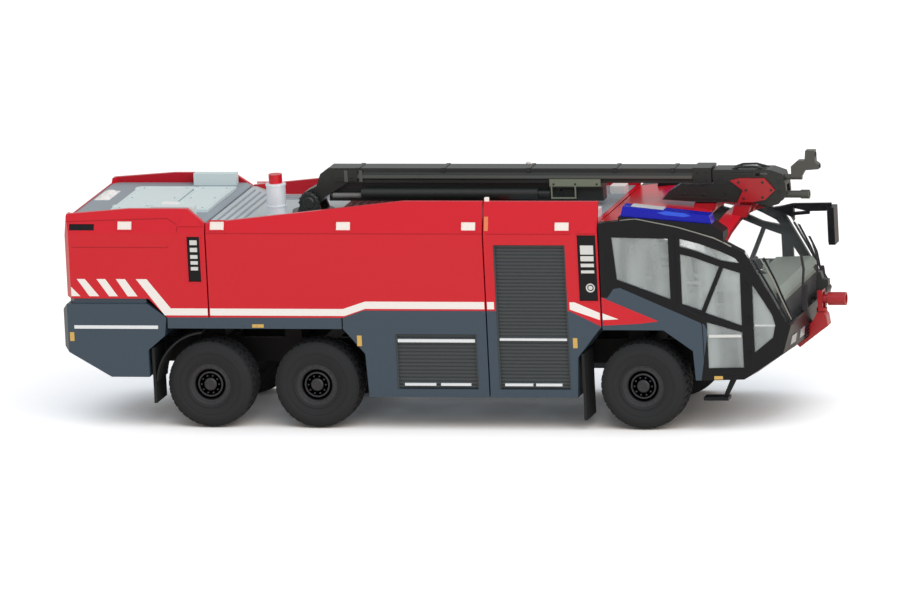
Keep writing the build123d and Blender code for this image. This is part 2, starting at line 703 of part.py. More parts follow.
def outer_boom():
    heel = [
        (pin_x - 2.2, pin_z - 2.2), (pin_x - 3.1, pin_z),
        (pin_x - 2.4, pin_z + 3.0), (boom_rear_x - 4.7, boom_low - 1.3),
        (boom_rear_x - 3.2, boom_high - 2.2), (boom_rear_x, boom_high),
        (boom_rear_x + 7, boom_high), (boom_rear_x + 7, boom_low),
        (pin_x + 5.5, pin_z + 1.6), (pin_x + 3.0, pin_z - 1.4), (pin_x + 1.4, pin_z - 2.4),
    ]
    body = prism_y(heel, -boom_half, boom_half)
    body -= rod_y(pin_x, pin_z, pin_radius + pin_clearance, -boom_half - 1, boom_half + 1)
    rib_low, rib_high = rib_z
    right = [
        (boom_half, boom_low), (boom_half, rib_low), (boom_half + rib_depth, rib_low + 0.4),
        (boom_half + rib_depth, rib_high - 0.8), (boom_half, rib_high), (boom_half, boom_high),
    ]
    tube = prism_x([*right, *[(-y, z) for y, z in reversed(right)]], boom_rear_x + 5, boom_front_x)
    sleeve = boom_half + 0.6
    tube += block(boom_rear_x + 2, sleeve_x, -sleeve, sleeve, boom_low + 0.6, boom_high - 0.5)
    tube += block(boom_front_x - 6.6, boom_front_x, -sleeve, sleeve, boom_low, boom_high + 0.4)
    tube += block(*collar_x, -boom_half - 0.8, boom_half + 0.8, boom_low - 1.6, rib_low)
    tube += block(*collar_x, -2.6, 2.6, keel_low + 0.4, boom_low)
    tube += block(pin_x + 6.4, collar_x[0], -keel_half, keel_half, keel_low, boom_low)
    bore = boom_half - boom_wall
    bore_z = (boom_low + boom_wall, boom_high - boom_wall)
    return body + (tube - block(boom_rear_x + 8, boom_front_x + 1, -bore, bore, *bore_z))


ram_x = (-34.0, collar_x[0] - 4.3)
ram_y = -3.6
ram_z = 78.6
ram = rod_x(ram_y, ram_z, 2.0, *ram_x)
ram += rod_x(ram_y, ram_z - 0.8, 0.8, pin_x + 7.6, ram_x[0])
ram += rod_x(ram_y, ram_z, 1.2, ram_x[1], collar_x[0])
for x in (ram_x[0] + 6.0, ram_x[1] - 18.0, collar_x[0] - 2.6):
    ram += block(x, x + 2.4, ram_y, -keel_half, ram_z - 0.6, ram_z + 0.6)
save(outer_boom(), "boom_outer")
save(both_sides(ram), "extension_ram")

inner_half = boom_half - boom_wall - boom_fit
inner_low = boom_low + boom_wall + boom_fit
inner_high = boom_high - boom_wall - boom_fit
inner = block(inner_rear_x, head_x, -inner_half, inner_half, inner_low, inner_high)
bore = inner_half - boom_wall
bore_z = (inner_low + boom_wall, inner_high - boom_wall)
inner -= block(inner_rear_x - 1, head_x - 1.5, -bore, bore, *bore_z)
save(inner, "boom_inner")

# Head at the tip of the boom, with its side plates, nozzle and camera
nozzle_x, nozzle_z = nozzle_pivot
nozzle_eye = 0.8


def boom_head():
    outline = [
        (head_x, 81.6), (head_x, boom_high - 0.4), (114.0, boom_high - 0.4),
        (118.3, 85.8), (119.4, 81.9), (119.6, 78.6),
        (116.6, 75.0), (113.6, 74.2), (106.0, 75.7), (87.5, 75.7), (74.8, 76.6), (77.4, 79.6), (81.0, 81.6),
    ]
    head = prism_y(outline, -boom_half, boom_half)
    head -= block(nozzle_x - 3.4, 121.0, -2.2, 2.2, 73.0, 81.6)
    head -= block(108.6, 113.0, -boom_half - 1, boom_half + 1, 85.0, 86.2)
    head -= rod_y(nozzle_x, nozzle_z, nozzle_eye, -boom_half, boom_half)
    pin = rod_y(nozzle_x, nozzle_z, nozzle_eye, -boom_half, boom_half)
    return head + pin


def side_plates():
    outline = [
        (99.6, 83.6), (103.0, 84.4), (112.1, 84.4), (115.7, 80.1),
        (112.1, 76.8), (107.6, 75.9), (102.0, 75.9), (104.2, 80.1),
    ]
    return both_sides(prism_y(outline, -boom_half - 1.0, -boom_half))


def nozzle():
    barrel = rod_x(0, nozzle_z, 1.3, nozzle_x, nozzle_tip_x)
    barrel += rod_x(0, nozzle_z, 1.6, nozzle_tip_x - 3.0, nozzle_tip_x)
    barrel += rod_y(nozzle_x, nozzle_z, 2.1, -1.9, 1.9)
    barrel -= rod_x(0, nozzle_z, 0.8, nozzle_tip_x - 6.0, nozzle_tip_x + 1)
    return barrel - rod_y(nozzle_x, nozzle_z, nozzle_eye + pin_clearance, -5, 5)


head = boom_head()
save(head, "boom_head")
save(side_plates(), "head_side_plates")
save(nozzle(), "boom_nozzle")
lance = rod_x(0, 84.0, 1.0, 116.0, 124.6) - head
unit = prism_y(
    [
        (121.0, 84.2), (121.0, 88.0), (123.4, 90.0), (126.0, 90.0), (126.4, 93.6), (129.6, 93.6),
        (129.8, 89.4), (131.0, 88.6), (131.0, 87.0), (126.0, 86.6), (124.6, 84.2),
    ],
    -1.6, 1.6,
)
save(lance + unit, "boom_camera")

# Bumper monitor on a bracket ahead of the bumper
bracket = prism_y(
    [
        (119.7, 25.4), (121.7, 23.4), (130.0, 29.6), (132.1, 31.1), (131.6, 34.7),
        (130.6, z_monitor_seat), (128.4, z_monitor_seat), (126.8, 33.0), (124.9, 31.1),
    ],
    -2.6, 2.6,
)
bracket += rod_z(monitor_x, 0, 1.9, z_monitor_seat - 2.0, z_monitor_seat)
save(bracket - outer_cab, "monitor_bracket")
ear = 0.6
ear_y = 1.9
ear_x = 0.9
pan_low = z_monitor_seat + 0.2
pan = rod_z(monitor_x, 0, 1.9, pan_low, pan_low + 1.0)
yoke_high = monitor_z + monitor_radius + 0.2
pan += block(monitor_x - ear_x, monitor_x + ear_x, -ear_y, ear_y, pan_low, pan_low + 1.0)
for y in (-ear_y - ear, ear_y):
    pan += block(monitor_x - ear_x, monitor_x + ear_x, y, y + ear, pan_low, yoke_high + 0.8)
pan += block(monitor_x - ear_x, monitor_x + ear_x, -ear_y, ear_y, yoke_high, yoke_high + 0.8)
pan += rod_y(monitor_x, monitor_z, 0.6, -ear_y - ear, ear_y + ear)
save(pan, "monitor_pan")
sensor_low = yoke_high + 0.8
sensor = prism_y(
    [
        (monitor_x - ear_x, sensor_low), (monitor_x + ear_x, sensor_low), (monitor_x + 3.0, sensor_low + 1.6),
        (monitor_x + 3.0, sensor_low + 3.6), (monitor_x + 1.0, sensor_low + 4.0),
        (monitor_x + 0.4, sensor_low + 6.4),
        (monitor_x - 0.6, sensor_low + 6.4),
    ],
    -1.5, 1.5,
)
save(sensor, "monitor_sensor")
gun = rod_x(0, monitor_z, 1.6, monitor_x - 1.2, monitor_x + 3.0)
gun += rod_x(0, monitor_z, monitor_radius, monitor_x + 2.6, monitor_tip_x)
gun -= rod_x(0, monitor_z, monitor_radius - 0.6, monitor_tip_x - 3, monitor_tip_x + 1)
gun -= rod_y(monitor_x, monitor_z, 0.6 + pin_clearance, -5, 5)
save(gun, "monitor_barrel")

# Mudflaps, steps, mirror and wipers
flaps = []
flap_inner = half_width - 14.4
for x, z_low, z_high in [(x_tail_end + 1.0, 9.1, 29.0), (front_front - 7.8, 3.6, 27.5)]:
    flaps.append(both_sides(block(x, x + 1.0, 0.8 - half_width, -flap_inner, z_low, z_high)))
save(flaps, "mudflaps")
step_x = arch_front_x + 2.5
step_y = 2.0 - half_width
step = block(step_x, step_x + 8.8, -half_width, 5.0 - half_width, 11.2, 12.4)
step_arm = [
    (step_x + 6.4, 11.8), (step_x + 8.0, 11.8), (step_x + 11.6, z_cab_low), (step_x + 9.4, z_cab_low),
]
step += prism_y(step_arm, step_y, step_y + 1.2)
save(both_sides(step), "cab_steps")
mirror_y = half_width - 3.4
arm = 0.6
arms = Part()
for outline, half in [
    # an arm or the root in X and Z, half its thickness
    ([
        (109.0, 67.0), (113.4, 68.0), (127.4, 68.2), (127.4, 65.4),
        (119.0, 65.2), (113.4, 66.4), (109.0, 65.0),
    ], arm),
    ([(109.0, 63.4), (113.6, 64.8), (119.4, 65.4), (119.4, 64.2), (113.6, 63.7), (109.6, 62.0)], arm),
    ([(106.6, 66.6), (113.8, 67.6), (113.8, 62.0), (111.0, 57.4), (108.0, 60.0)], 2 * arm),
]:
    arms += prism_y(outline, mirror_y - half, mirror_y + half)
glass_head = block(126.4, 128.8, mirror_y - 3.0, mirror_y + 3.2, 53.6, 67.0)
save(arms + glass_head - outer_cab, "far_mirror")
blade_skin = cab_volume(-0.8) - cab_volume(-0.25)
arm_skin = cab_volume(-1.9) - cab_volume(-0.7)
blades = []
for y in (-15.4, 4.2, 16.4):
    blade_line = [(y - 0.5, 39.4), (y + 0.4, 39.4), (y + 6.6, 58.0), (y + 5.8, 58.0)]
    bar_line = [(y - 0.3, 39.4), (y + 1.0, 39.4), (y + 3.8, 48.0), (y + 2.8, 48.0)]
    blade = blade_skin & prism_x(blade_line, 115, 135)
    bar = arm_skin & prism_x(bar_line, 115, 135)
    blades.append(blade + bar)
save(blades, "wipers")
lamps = []
for y in (13.0, 24.0):
    lamps.append(both_sides((cab_volume(-0.2) - outer_cab) & block(115, 135, -y - 2.8, -y + 2.8, 29.6, 32.8)))
save(lamps, "headlamps")
tail_lamps = []
for z in (32.0, 36.5):
    lamp = block(x_bumper - 0.5, x_bumper, 5.8 - half_width, 11.8 - half_width, z, z + 3.2)
    tail_lamps.append(both_sides(lamp))
save(tail_lamps, "tail_lamps")
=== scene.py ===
import json
import math
import bpy
import bmesh
from mathutils import Matrix, Vector


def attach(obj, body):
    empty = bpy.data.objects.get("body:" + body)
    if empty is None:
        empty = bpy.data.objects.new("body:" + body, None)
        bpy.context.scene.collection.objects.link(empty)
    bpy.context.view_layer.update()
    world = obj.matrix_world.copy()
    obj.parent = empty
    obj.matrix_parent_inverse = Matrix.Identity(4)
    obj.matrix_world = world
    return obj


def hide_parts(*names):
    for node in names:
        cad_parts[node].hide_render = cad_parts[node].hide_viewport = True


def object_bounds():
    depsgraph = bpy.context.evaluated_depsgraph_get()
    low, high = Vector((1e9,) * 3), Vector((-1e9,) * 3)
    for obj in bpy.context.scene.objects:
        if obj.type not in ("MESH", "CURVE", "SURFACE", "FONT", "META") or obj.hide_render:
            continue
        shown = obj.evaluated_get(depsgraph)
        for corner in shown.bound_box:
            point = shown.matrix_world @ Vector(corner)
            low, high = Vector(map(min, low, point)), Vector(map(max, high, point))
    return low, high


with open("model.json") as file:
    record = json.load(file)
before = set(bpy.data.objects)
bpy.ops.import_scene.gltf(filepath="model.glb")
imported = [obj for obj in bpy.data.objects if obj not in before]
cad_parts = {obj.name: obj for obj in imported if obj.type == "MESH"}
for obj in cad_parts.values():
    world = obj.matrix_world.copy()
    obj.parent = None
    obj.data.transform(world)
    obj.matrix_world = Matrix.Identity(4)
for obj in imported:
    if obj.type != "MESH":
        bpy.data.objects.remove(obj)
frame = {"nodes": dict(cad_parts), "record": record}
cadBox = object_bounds()
bpy.context.scene.view_settings.view_transform = "Standard"

# Camera: a long lens from the truck's right, a little ahead of it and above
cameraView = {
    "azimuth": 14.58,
    "elevation": 11.8,
    "roll": -2.84,
    "distance": 5.342,
    "lens": 605.25,
    "target": (-0.0048, -0.0006, 0.0395),
}


def makeCamera(view):
    azimuth = math.radians(view["azimuth"])
    elevation = math.radians(view["elevation"])
    towards = Vector((
        math.sin(azimuth) * math.cos(elevation),
        -math.cos(azimuth) * math.cos(elevation),
        math.sin(elevation),
    ))
    data = bpy.data.cameras.new("camera")
    data.lens = view["lens"]
    data.sensor_width = 36.0
    camera = bpy.data.objects.new("camera", data)
    camera.rotation_euler = towards.to_track_quat("Z", "Y").to_euler()
    camera.rotation_euler.rotate_axis("Z", math.radians(view["roll"]))
    camera.location = Vector(view["target"]) + towards * view["distance"]
    bpy.context.scene.collection.objects.link(camera)
    bpy.context.scene.camera = camera


makeCamera(cameraView)

# World and lamps
studio = {
    "ambient": 0.62,
    "keySize": 1.6,
    "keyPower": 15.0,
    "keyAt": (0.75, -1.1, 1.5),
    "fillSize": 1.2,
    "fillPower": 5.0,
    "fillAt": (1.3, -0.9, 0.5),
    "aim": (0.0, 0.0, 0.04),
    "floorSize": 4.0,
    # the warm diffuse colour with a bluish glow seen only by the camera paints a bluish tint into the floor's
    # shadows
    "floorColour": (0.95, 0.85, 0.76, 1),
    "floorGlow": (0.36, 0.44, 0.52, 1),
    "floorLift": 1.0,
    # painted contact shadow: how far and how strongly the floor's glow fades under the truck
    "hiddenReach": 0.045,
    "hiddenRange": (0.26, 0.68, 0.03),
    "hiddenSamples": 12,
}


def addNode(tree, kind, inputs=None, operation=None, group=None):
    # A node whose sockets take plain values or the outputs of other nodes
    node = tree.nodes.new("ShaderNode" + kind)
    if operation:
        node.operation = operation
    if group:
        node.node_tree = group
    for name, value in (inputs or {}).items():
        if isinstance(value, bpy.types.NodeSocket):
            tree.links.new(value, node.inputs[name])
        else:
            node.inputs[name].default_value = value
    return node


def addLamp(name, spec):
    data = bpy.data.lights.new(name + "Lamp", "AREA")
    data.shape = "SQUARE"
    data.size = spec[name + "Size"]
    data.energy = spec[name + "Power"]
    lamp = bpy.data.objects.new(name + "Lamp", data)
    lamp.location = spec[name + "At"]
    away = Vector(spec[name + "At"]) - Vector(spec["aim"])
    lamp.rotation_euler = away.to_track_quat("Z", "Y").to_euler()
    bpy.context.scene.collection.objects.link(lamp)


def makeWorld(spec):
    world = bpy.data.worlds.new("studio")
    bpy.context.scene.world = world
    world.use_nodes = True
    tree = world.node_tree
    tree.nodes.clear()
    path = addNode(tree, "LightPath").outputs
    seen = addNode(tree, "Math", {0: path["Is Camera Ray"], 1: path["Is Transmission Ray"]}, "MAXIMUM")
    strength = addNode(tree, "MapRange", {"Value": seen.outputs[0], "To Min": spec["ambient"]})
    background = addNode(tree, "Background", {"Color": (1, 1, 1, 1), "Strength": strength.outputs[0]})
    addNode(tree, "OutputWorld", {"Surface": background.outputs[0]})


def makeFloor(spec):
    half = spec["floorSize"] / 2
    mesh = bpy.data.meshes.new("floor")
    corners = [(-half, -half, 0), (half, -half, 0), (half, half, 0), (-half, half, 0)]
    mesh.from_pydata(corners, [], [(0, 1, 2, 3)])
    floor = bpy.data.objects.new("floor", mesh)
    floor.location.z = cadBox[0][2]
    bpy.context.scene.collection.objects.link(floor)
    paper = bpy.data.materials.new("paperWhite")
    paper.use_nodes = True
    tree = paper.node_tree
    tree.nodes.clear()
    path = addNode(tree, "LightPath").outputs
    lift = addNode(tree, "Math", {0: path["Is Camera Ray"], 1: spec["floorLift"]}, "MULTIPLY")
    # painted contact shadow: the glow fades where the floor is hidden from above, so that the ground under
    # the truck stays dark
    hidden = addNode(tree, "AmbientOcclusion", {"Distance": spec["hiddenReach"]})
    hidden.samples = spec["hiddenSamples"]
    low, high, least = spec["hiddenRange"]
    openness = addNode(tree, "MapRange", {
        "Value": hidden.outputs["AO"], "From Min": low, "From Max": high, "To Min": least,
    })
    fade = addNode(tree, "Math", {0: lift.outputs[0], 1: openness.outputs[0]}, "MULTIPLY")
    diffuse = addNode(tree, "BsdfDiffuse", {"Color": spec["floorColour"]})
    glow = addNode(tree, "Emission", {"Color": spec["floorGlow"], "Strength": fade.outputs[0]})
    both = addNode(tree, "AddShader", {0: diffuse.outputs[0], 1: glow.outputs[0]})
    addNode(tree, "OutputMaterial", {"Surface": both.outputs[0]})
    mesh.materials.append(paper)


makeWorld(studio)
makeFloor(studio)
addLamp("key", studio)
addLamp("fill", studio)
print("stage ready")

# Finishes: every moulded surface shares one group for its colour drift, gloss drift and skin
skinLook = {
    "broadScale": 28.0,        # noise per metre that drifts the colour and the gloss
    "broadDetail": 3.0,
    "fineDetail": 4.0,
    "bumpDistance": 0.0001,
    "coatRoughness": 0.12,
    "usual": {"Drift": 0.04, "Roughness": 0.4, "Gloss drift": 0.05, "Grain size": 900.0, "Grain height": 0.1},
}


def makeSkinGroup(look):
    group = bpy.data.node_groups.new("mouldedSkin", "ShaderNodeTree")
    face = group.interface
    for name, value in look["usual"].items():
        face.new_socket(name=name, in_out="INPUT", socket_type="NodeSocketFloat").default_value = value
    colour = face.new_socket(name="Color", in_out="INPUT", socket_type="NodeSocketColor")
    colour.default_value = (0.5, 0.5, 0.5, 1)
    for name, kind in [("Color", "Color"), ("Roughness", "Float"), ("Normal", "Vector")]:
        face.new_socket(name=name, in_out="OUTPUT", socket_type="NodeSocket" + kind)
    source = group.nodes.new("NodeGroupInput").outputs
    result = group.nodes.new("NodeGroupOutput").inputs
    place = addNode(group, "TexCoord").outputs["Object"]
    cloud = {"Vector": place, "Scale": look["broadScale"], "Detail": look["broadDetail"]}
    broad = addNode(group, "TexNoise", cloud)
    grain = {"Vector": place, "Scale": source["Grain size"], "Detail": look["fineDetail"]}
    fine = addNode(group, "TexNoise", grain)
    centred = addNode(group, "Math", {0: broad.outputs["Fac"], 1: 0.5}, "SUBTRACT").outputs[0]
    colourDrift = {0: centred, 1: source["Drift"], 2: 1.0}
    shade = addNode(group, "Math", colourDrift, "MULTIPLY_ADD")
    tint = addNode(group, "VectorMath", {0: source["Color"], "Scale": shade.outputs[0]}, "SCALE")
    glossDrift = {0: centred, 1: source["Gloss drift"], 2: source["Roughness"]}
    gloss = addNode(group, "Math", glossDrift, "MULTIPLY_ADD")
    bump = addNode(group, "Bump", {
        "Distance": look["bumpDistance"], "Strength": source["Grain height"], "Height": fine.outputs["Fac"],
    })
    for name, node in [("Color", tint), ("Roughness", gloss), ("Normal", bump)]:
        group.links.new(node.outputs[0], result[name])
    return group


def srgb(colour):
    # A screen colour from 0 to 255 as linear light
    def linear(value):
        share = value / 255
        return share / 12.92 if share <= 0.04045 else ((share + 0.055) / 1.055) ** 2.4
    return (*map(linear, colour), 1.0)


def makeSkinned(name, colour, skin, plain):
    # A material that takes its colour, gloss and skin from the shared group, and the rest as plain numbers
    made = bpy.data.materials.new(name)
    made.use_nodes = True
    tree = made.node_tree
    shader = tree.nodes["Principled BSDF"]
    group = addNode(tree, "Group", {"Color": srgb(colour), **skin}, group=skinGroup)
    for output, socket in [("Color", "Base Color"), ("Roughness", "Roughness"), ("Normal", "Normal")]:
        tree.links.new(group.outputs[output], shader.inputs[socket])
    for socket, value in plain.items():
        shader.inputs[socket].default_value = value
    return made


finishes = {
    # colour, drift, roughness, gloss drift, grain size per metre, grain height, coat, specular
    "bodyRed": ((210, 18, 39), 0.05, 0.30, 0.06, 900, 0.06, 0.25, 0.35),
    "skirtGrey": ((58, 76, 91), 0.06, 0.42, 0.06, 1400, 0.08, 0.15, 0.4),
    "roofGrey": ((150, 160, 168), 0.08, 0.55, 0.05, 1600, 0.2, 0.0, 0.4),
    "hatchWhite": ((216, 230, 231), 0.05, 0.40, 0.05, 1400, 0.1, 0.1, 0.4),
    "shutterGrey": ((66, 72, 75), 0.08, 0.48, 0.06, 1600, 0.15, 0.0, 0.4),
    "cabBlack": ((24, 26, 30), 0.08, 0.36, 0.05, 900, 0.05, 0.05, 0.18),
    "deckPale": ((190, 200, 203), 0.08, 0.55, 0.05, 1600, 0.2, 0.0, 0.35),
    # painted glint: a brighter blue for the glints on the light bars
    "blueBright": ((30, 84, 226), 0.05, 0.2, 0.05, 900, 0.03, 0.3, 0.4),
    "interiorGrey": ((184, 194, 190), 0.08, 0.6, 0.05, 1600, 0.2, 0.0, 0.3),
    "dashBlack": ((44, 42, 46), 0.08, 0.6, 0.05, 1600, 0.2, 0.0, 0.3),
    "dashGrey": ((138, 146, 138), 0.10, 0.6, 0.05, 1600, 0.2, 0.0, 0.3),
    "collarOlive": ((124, 132, 114), 0.10, 0.45, 0.06, 1400, 0.15, 0.0, 0.35),
    "shadeRed": ((176, 14, 28), 0.04, 0.34, 0.05, 900, 0.05, 0.2, 0.3),
    "boomBlack": ((36, 42, 40), 0.14, 0.38, 0.10, 1300, 0.16, 0.1, 0.45),
    # painted highlight: a paler grey for the lit strip along the boom's side
    "boomWorn": ((88, 92, 88), 0.16, 0.42, 0.10, 1300, 0.16, 0.0, 0.45),
    "rodGrey": ((122, 122, 120), 0.08, 0.35, 0.05, 1200, 0.1, 0.1, 0.5),
    "boomGrey": ((74, 76, 72), 0.10, 0.42, 0.08, 1300, 0.12, 0.1, 0.45),
    "chassisBlack": ((26, 26, 27), 0.10, 0.6, 0.06, 1500, 0.2, 0.0, 0.3),
    "rimGrey": ((34, 36, 40), 0.10, 0.5, 0.06, 1500, 0.15, 0.0, 0.4),
    "tyreBlack": ((43, 45, 47), 0.14, 0.78, 0.08, 2200, 0.35, 0.0, 0.25),
    "flapBlack": ((34, 36, 38), 0.10, 0.7, 0.06, 1800, 0.2, 0.0, 0.3),
    "monitorRed": ((170, 24, 34), 0.06, 0.32, 0.06, 1000, 0.08, 0.3, 0.5),
    "lampWhite": ((246, 240, 234), 0.03, 0.25, 0.04, 900, 0.03, 0.4, 0.5),
    "lightClear": ((216, 220, 220), 0.03, 0.2, 0.04, 900, 0.03, 0.5, 0.5),
    "tailLens": ((150, 14, 18), 0.04, 0.2, 0.04, 900, 0.03, 0.5, 0.5),
    "stripeWhite": ((246, 244, 242), 0.02, 0.4, 0.04, 900, 0.03, 0.2, 0.4),
    "markerYellow": ((214, 176, 92), 0.03, 0.3, 0.04, 900, 0.03, 0.3, 0.5),
    "markerAmber": ((232, 130, 84), 0.03, 0.3, 0.04, 900, 0.03, 0.3, 0.5),
    "headlampGrey": ((150, 156, 162), 0.06, 0.2, 0.04, 900, 0.03, 0.5, 0.5),
    "hubGrey": ((48, 50, 54), 0.12, 0.45, 0.06, 1500, 0.15, 0.1, 0.45),
    # painted shade: matte near-black for the ring that darkens the hub's recess
    "recessBlack": ((22, 23, 25), 0.10, 0.7, 0.05, 1500, 0.1, 0.0, 0.2),
    "mirrorSilver": ((190, 198, 204), 0.02, 0.08, 0.02, 900, 0.0, 0.6, 0.6),
    "sealGrey": ((150, 150, 142), 0.10, 0.5, 0.05, 1500, 0.15, 0.0, 0.3),
    "stackSilver": ((236, 244, 250), 0.05, 0.42, 0.08, 1400, 0.08, 0.0, 0.5),
}
metallic = {"stackSilver": 0.25}    # the finishes that are partly metal


def makeFinish(name):
    colour, drift, rough, glossDrift, grain, height, coat, specular = finishes[name]
    skin = {"Drift": drift, "Roughness": rough, "Gloss drift": glossDrift}
    skin.update({"Grain size": grain, "Grain height": height})
    plain = {"Coat Weight": coat, "Coat Roughness": skinLook["coatRoughness"]}
    plain.update({"Specular IOR Level": specular, "Metallic": metallic.get(name, 0.0)})
    return makeSkinned(name, colour, skin, plain)


# Clear parts: plain moulded glass, side panes with a painted reflection in pale streaks, and tinted lenses
clearParts = {
    # colour, opacity from outside, its drift, reflection streaks along X per metre, roughness, coat, opacity
    # from inside
    "clear": ((214, 226, 228), 0.03, 0.02, 60.0, 0.04, 0.1, 0.02),
    # painted reflection: the side panes' pale grey with streaked opacity stands in for the studio's
    # reflection in the glass
    "clearGrey": ((176, 187, 189), 0.46, 0.34, 190.0, 0.06, 0.2, 0.05),
    "blueLens": ((4, 20, 176), 0.985, 0.02, 90.0, 0.12, 0.0, 0.985),
}
clearLook = {
    "skin": {"Drift": 0.12, "Gloss drift": 0.03, "Grain height": 0.01},
    "plain": {"Coat Roughness": 0.08, "Specular IOR Level": 0.3},
    "streakScale": (4.0, 22.0),    # per metre along Y and Z
    "streakDetail": 0.6,
    "noiseRange": (0.3, 0.7),
}


def makeClear(name, look):
    colour, opacity, drift, reflectionStreaks, rough, coat, within = clearParts[name]
    skin, plain = {**look["skin"], "Roughness": rough}, {**look["plain"], "Coat Weight": coat}
    clear = makeSkinned(name, colour, skin, plain)
    tree = clear.node_tree
    place = addNode(tree, "TexCoord").outputs["Object"]
    stretch = addNode(tree, "Mapping", {"Vector": place, "Scale": (reflectionStreaks, *look["streakScale"])})
    noise = {"Vector": stretch.outputs[0], "Scale": 1.0, "Detail": look["streakDetail"]}
    reflectionNoise = addNode(tree, "TexNoise", noise)
    least, most = look["noiseRange"]
    reflectionOpacity = addNode(tree, "MapRange", {
        "Value": reflectionNoise.outputs["Fac"], "From Min": least, "From Max": most,
        "To Min": max(0.0, opacity - drift / 2), "To Max": min(1.0, opacity + drift / 2),
    })
    # the painted reflection shows only from outside: a side pane is plain when it is looked at from inside,
    # where its normal points at the centre plane
    at = addNode(tree, "SeparateXYZ", {0: place}).outputs
    normal = addNode(tree, "SeparateXYZ", {0: addNode(tree, "NewGeometry").outputs["True Normal"]}).outputs
    outward = addNode(tree, "Math", {0: at["Y"], 1: normal["Y"]}, "MULTIPLY")
    outside = addNode(tree, "Math", {0: outward.outputs[0], 1: 0.0}, "GREATER_THAN")
    choice = addNode(tree, "Mix", {"Factor": outside.outputs[0], "A": within, "B": reflectionOpacity.outputs[0]})
    tree.links.new(choice.outputs[0], tree.nodes["Principled BSDF"].inputs["Alpha"])
    return clear


skinGroup = makeSkinGroup(skinLook)
material = {name: makeFinish(name) for name in finishes}
material.update({name: makeClear(name, clearLook) for name in clearParts})

# A slot takes the finish of its own name, apart from these slots and nodes
slotFinish = {"seat_black": "dashBlack", "tyre": "tyreBlack"}
nodeFinish = {"headlamps": "headlampGrey", "tank_deck": "deckPale", "cab_interior": "dashGrey"}


def finishOf(part):
    slot = part["material_slot"]
    first, *others = slot.split("_")
    ownName = first + "".join(word.capitalize() for word in others)
    return nodeFinish.get(part["node"]) or slotFinish.get(slot, ownName)


for part in frame["record"]["subparts"]:
    node = frame["nodes"][part["node"]]
    node.data.materials.clear()
    node.data.materials.append(material[finishOf(part)])
print("finishes ready")

# Small helpers for building pieces: sizes in millimetres, with X forward, Y left and Z up
side = 34.8       # half the body's width
crease = 70.5     # above this the side walls lean in
lean = 3.2 / 11.0
scaleToMetres = Matrix.Scale(0.001, 4)


def addPiece(name, bm, finish, body="truck", smooth=False, sharp=None):
    # Makes the piece in metres, with edges above the sharp angle kept sharp, and lets it ride on its body
    bmesh.ops.recalc_face_normals(bm, faces=bm.faces)
    for face in bm.faces:
        face.smooth = smooth
    bm.transform(scaleToMetres)
    mesh = bpy.data.meshes.new(name)
    bm.to_mesh(mesh)
    bm.free()
    if sharp:
        mesh.set_sharp_from_angle(angle=math.radians(sharp))
    piece = bpy.data.objects.new(name, mesh)
    bpy.context.scene.collection.objects.link(piece)
    mesh.materials.append(material[finish])
    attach(piece, body)
    return piece


def newMeshes(count):
    return [bmesh.new() for _ in range(count)]


def spread(low, high, count):
    # Evenly spaced values, with both ends
    return [low + (high - low) * i / (count - 1) for i in range(count)]


def circle(centre, radius, count, first=0.0):
    # Evenly spaced points on a circle
    angles = [first + 2 * math.pi * k / count for k in range(count)]
    return [(centre[0] + radius * math.cos(angle), centre[1] + radius * math.sin(angle)) for angle in angles]


def rectangle(a0, a1, b0, b1):
    return [(a0, b0), (a1, b0), (a1, b1), (a0, b1)]


def addShell(bm, rings, loop=False):
    # Faces from each ring of points to the next, and caps at both ends or, for a loop, back to the first ring
    rings = [[bm.verts.new(point) for point in ring] for ring in rings]
    if loop:
        rings.append(rings[0])
    else:
        bm.faces.new(rings[-1])
        bm.faces.new(list(reversed(rings[0])))
    for near, far in zip(rings, rings[1:]):
        for k in range(len(near)):
            n = (k + 1) % len(near)
            bm.faces.new((near[k], near[n], far[n], far[k]))


def addShells(bm, rings, loop=False):
    # The same shell on the left and, mirrored, on the right
    for hand in (1, -1):
        addShell(bm, [[(x, hand * y, z) for x, y, z in ring] for ring in rings], loop)


def addPrism(bm, outline, axis, low, high):
    # A closed outline pushed from low to high along one axis
    place = {
        "X": lambda a, b, depth: (depth, a, b),
        "Y": lambda a, b, depth: (a, depth, b),
        "Z": lambda a, b, depth: (a, b, depth),
    }[axis]
    addShell(bm, [[place(a, b, depth) for a, b in outline] for depth in (high, low)])


def addBlock(bm, x0, x1, y0, y1, z0, z1):
    addPrism(bm, rectangle(x0, x1, z0, z1), "Y", y0, y1)


def addPair(bm, outline, inner, outer):
    # An outline in X and Z on both sides, between two distances from the centre plane
    addShells(bm, [[(x, y, z) for x, z in outline] for y in (outer, inner)])


def addBoxes(bm, boxes, depths):
    for box in boxes:
        addPair(bm, rectangle(*box), *depths)


def bodySide(x, z):
    # How far the body's side stands from the centre plane, which it leans towards above the crease
    return side - max(0.0, z - crease) * lean


def addPatch(bm, surface, outline, lift, sink):
    # A thin plate on both sides that follows a surface, from sink under it to lift above it
    addShells(bm, [[(x, surface(x, z) + depth, z) for x, z in outline] for depth in (-sink, lift)])


def addTurned(bm, profile, centre, steps, loop=False):
    # A profile of (across, radius) turned about a line along Y through the centre, on both sides
    rings = [[(x, across, z) for x, z in circle(centre, radius, steps)] for across, radius in profile]
    addShells(bm, rings, loop)


def addStud(bm, centre, radius, foot, top, steps=6, chamfer=0.15, tip=0.7):
    # A bolt head or rivet on both sides, drawn in at its top
    addTurned(bm, [(foot, radius), (top - chamfer, radius), (top, radius * tip)], centre, steps)


def addStuds(bm, places, stud):
    for place in places:
        addStud(bm, place, *stud)


def addUprightStud(bm, centre, z, radius, height, steps=8, shoulder=0.7, tip=0.72):
    # A round stud that stands up, drawn in above its shoulder
    levels = [(radius, z), (radius, z + height * shoulder), (radius * tip, z + height)]
    addShell(bm, [[(x, y, level) for x, y in circle(centre, reach, steps)] for reach, level in levels])


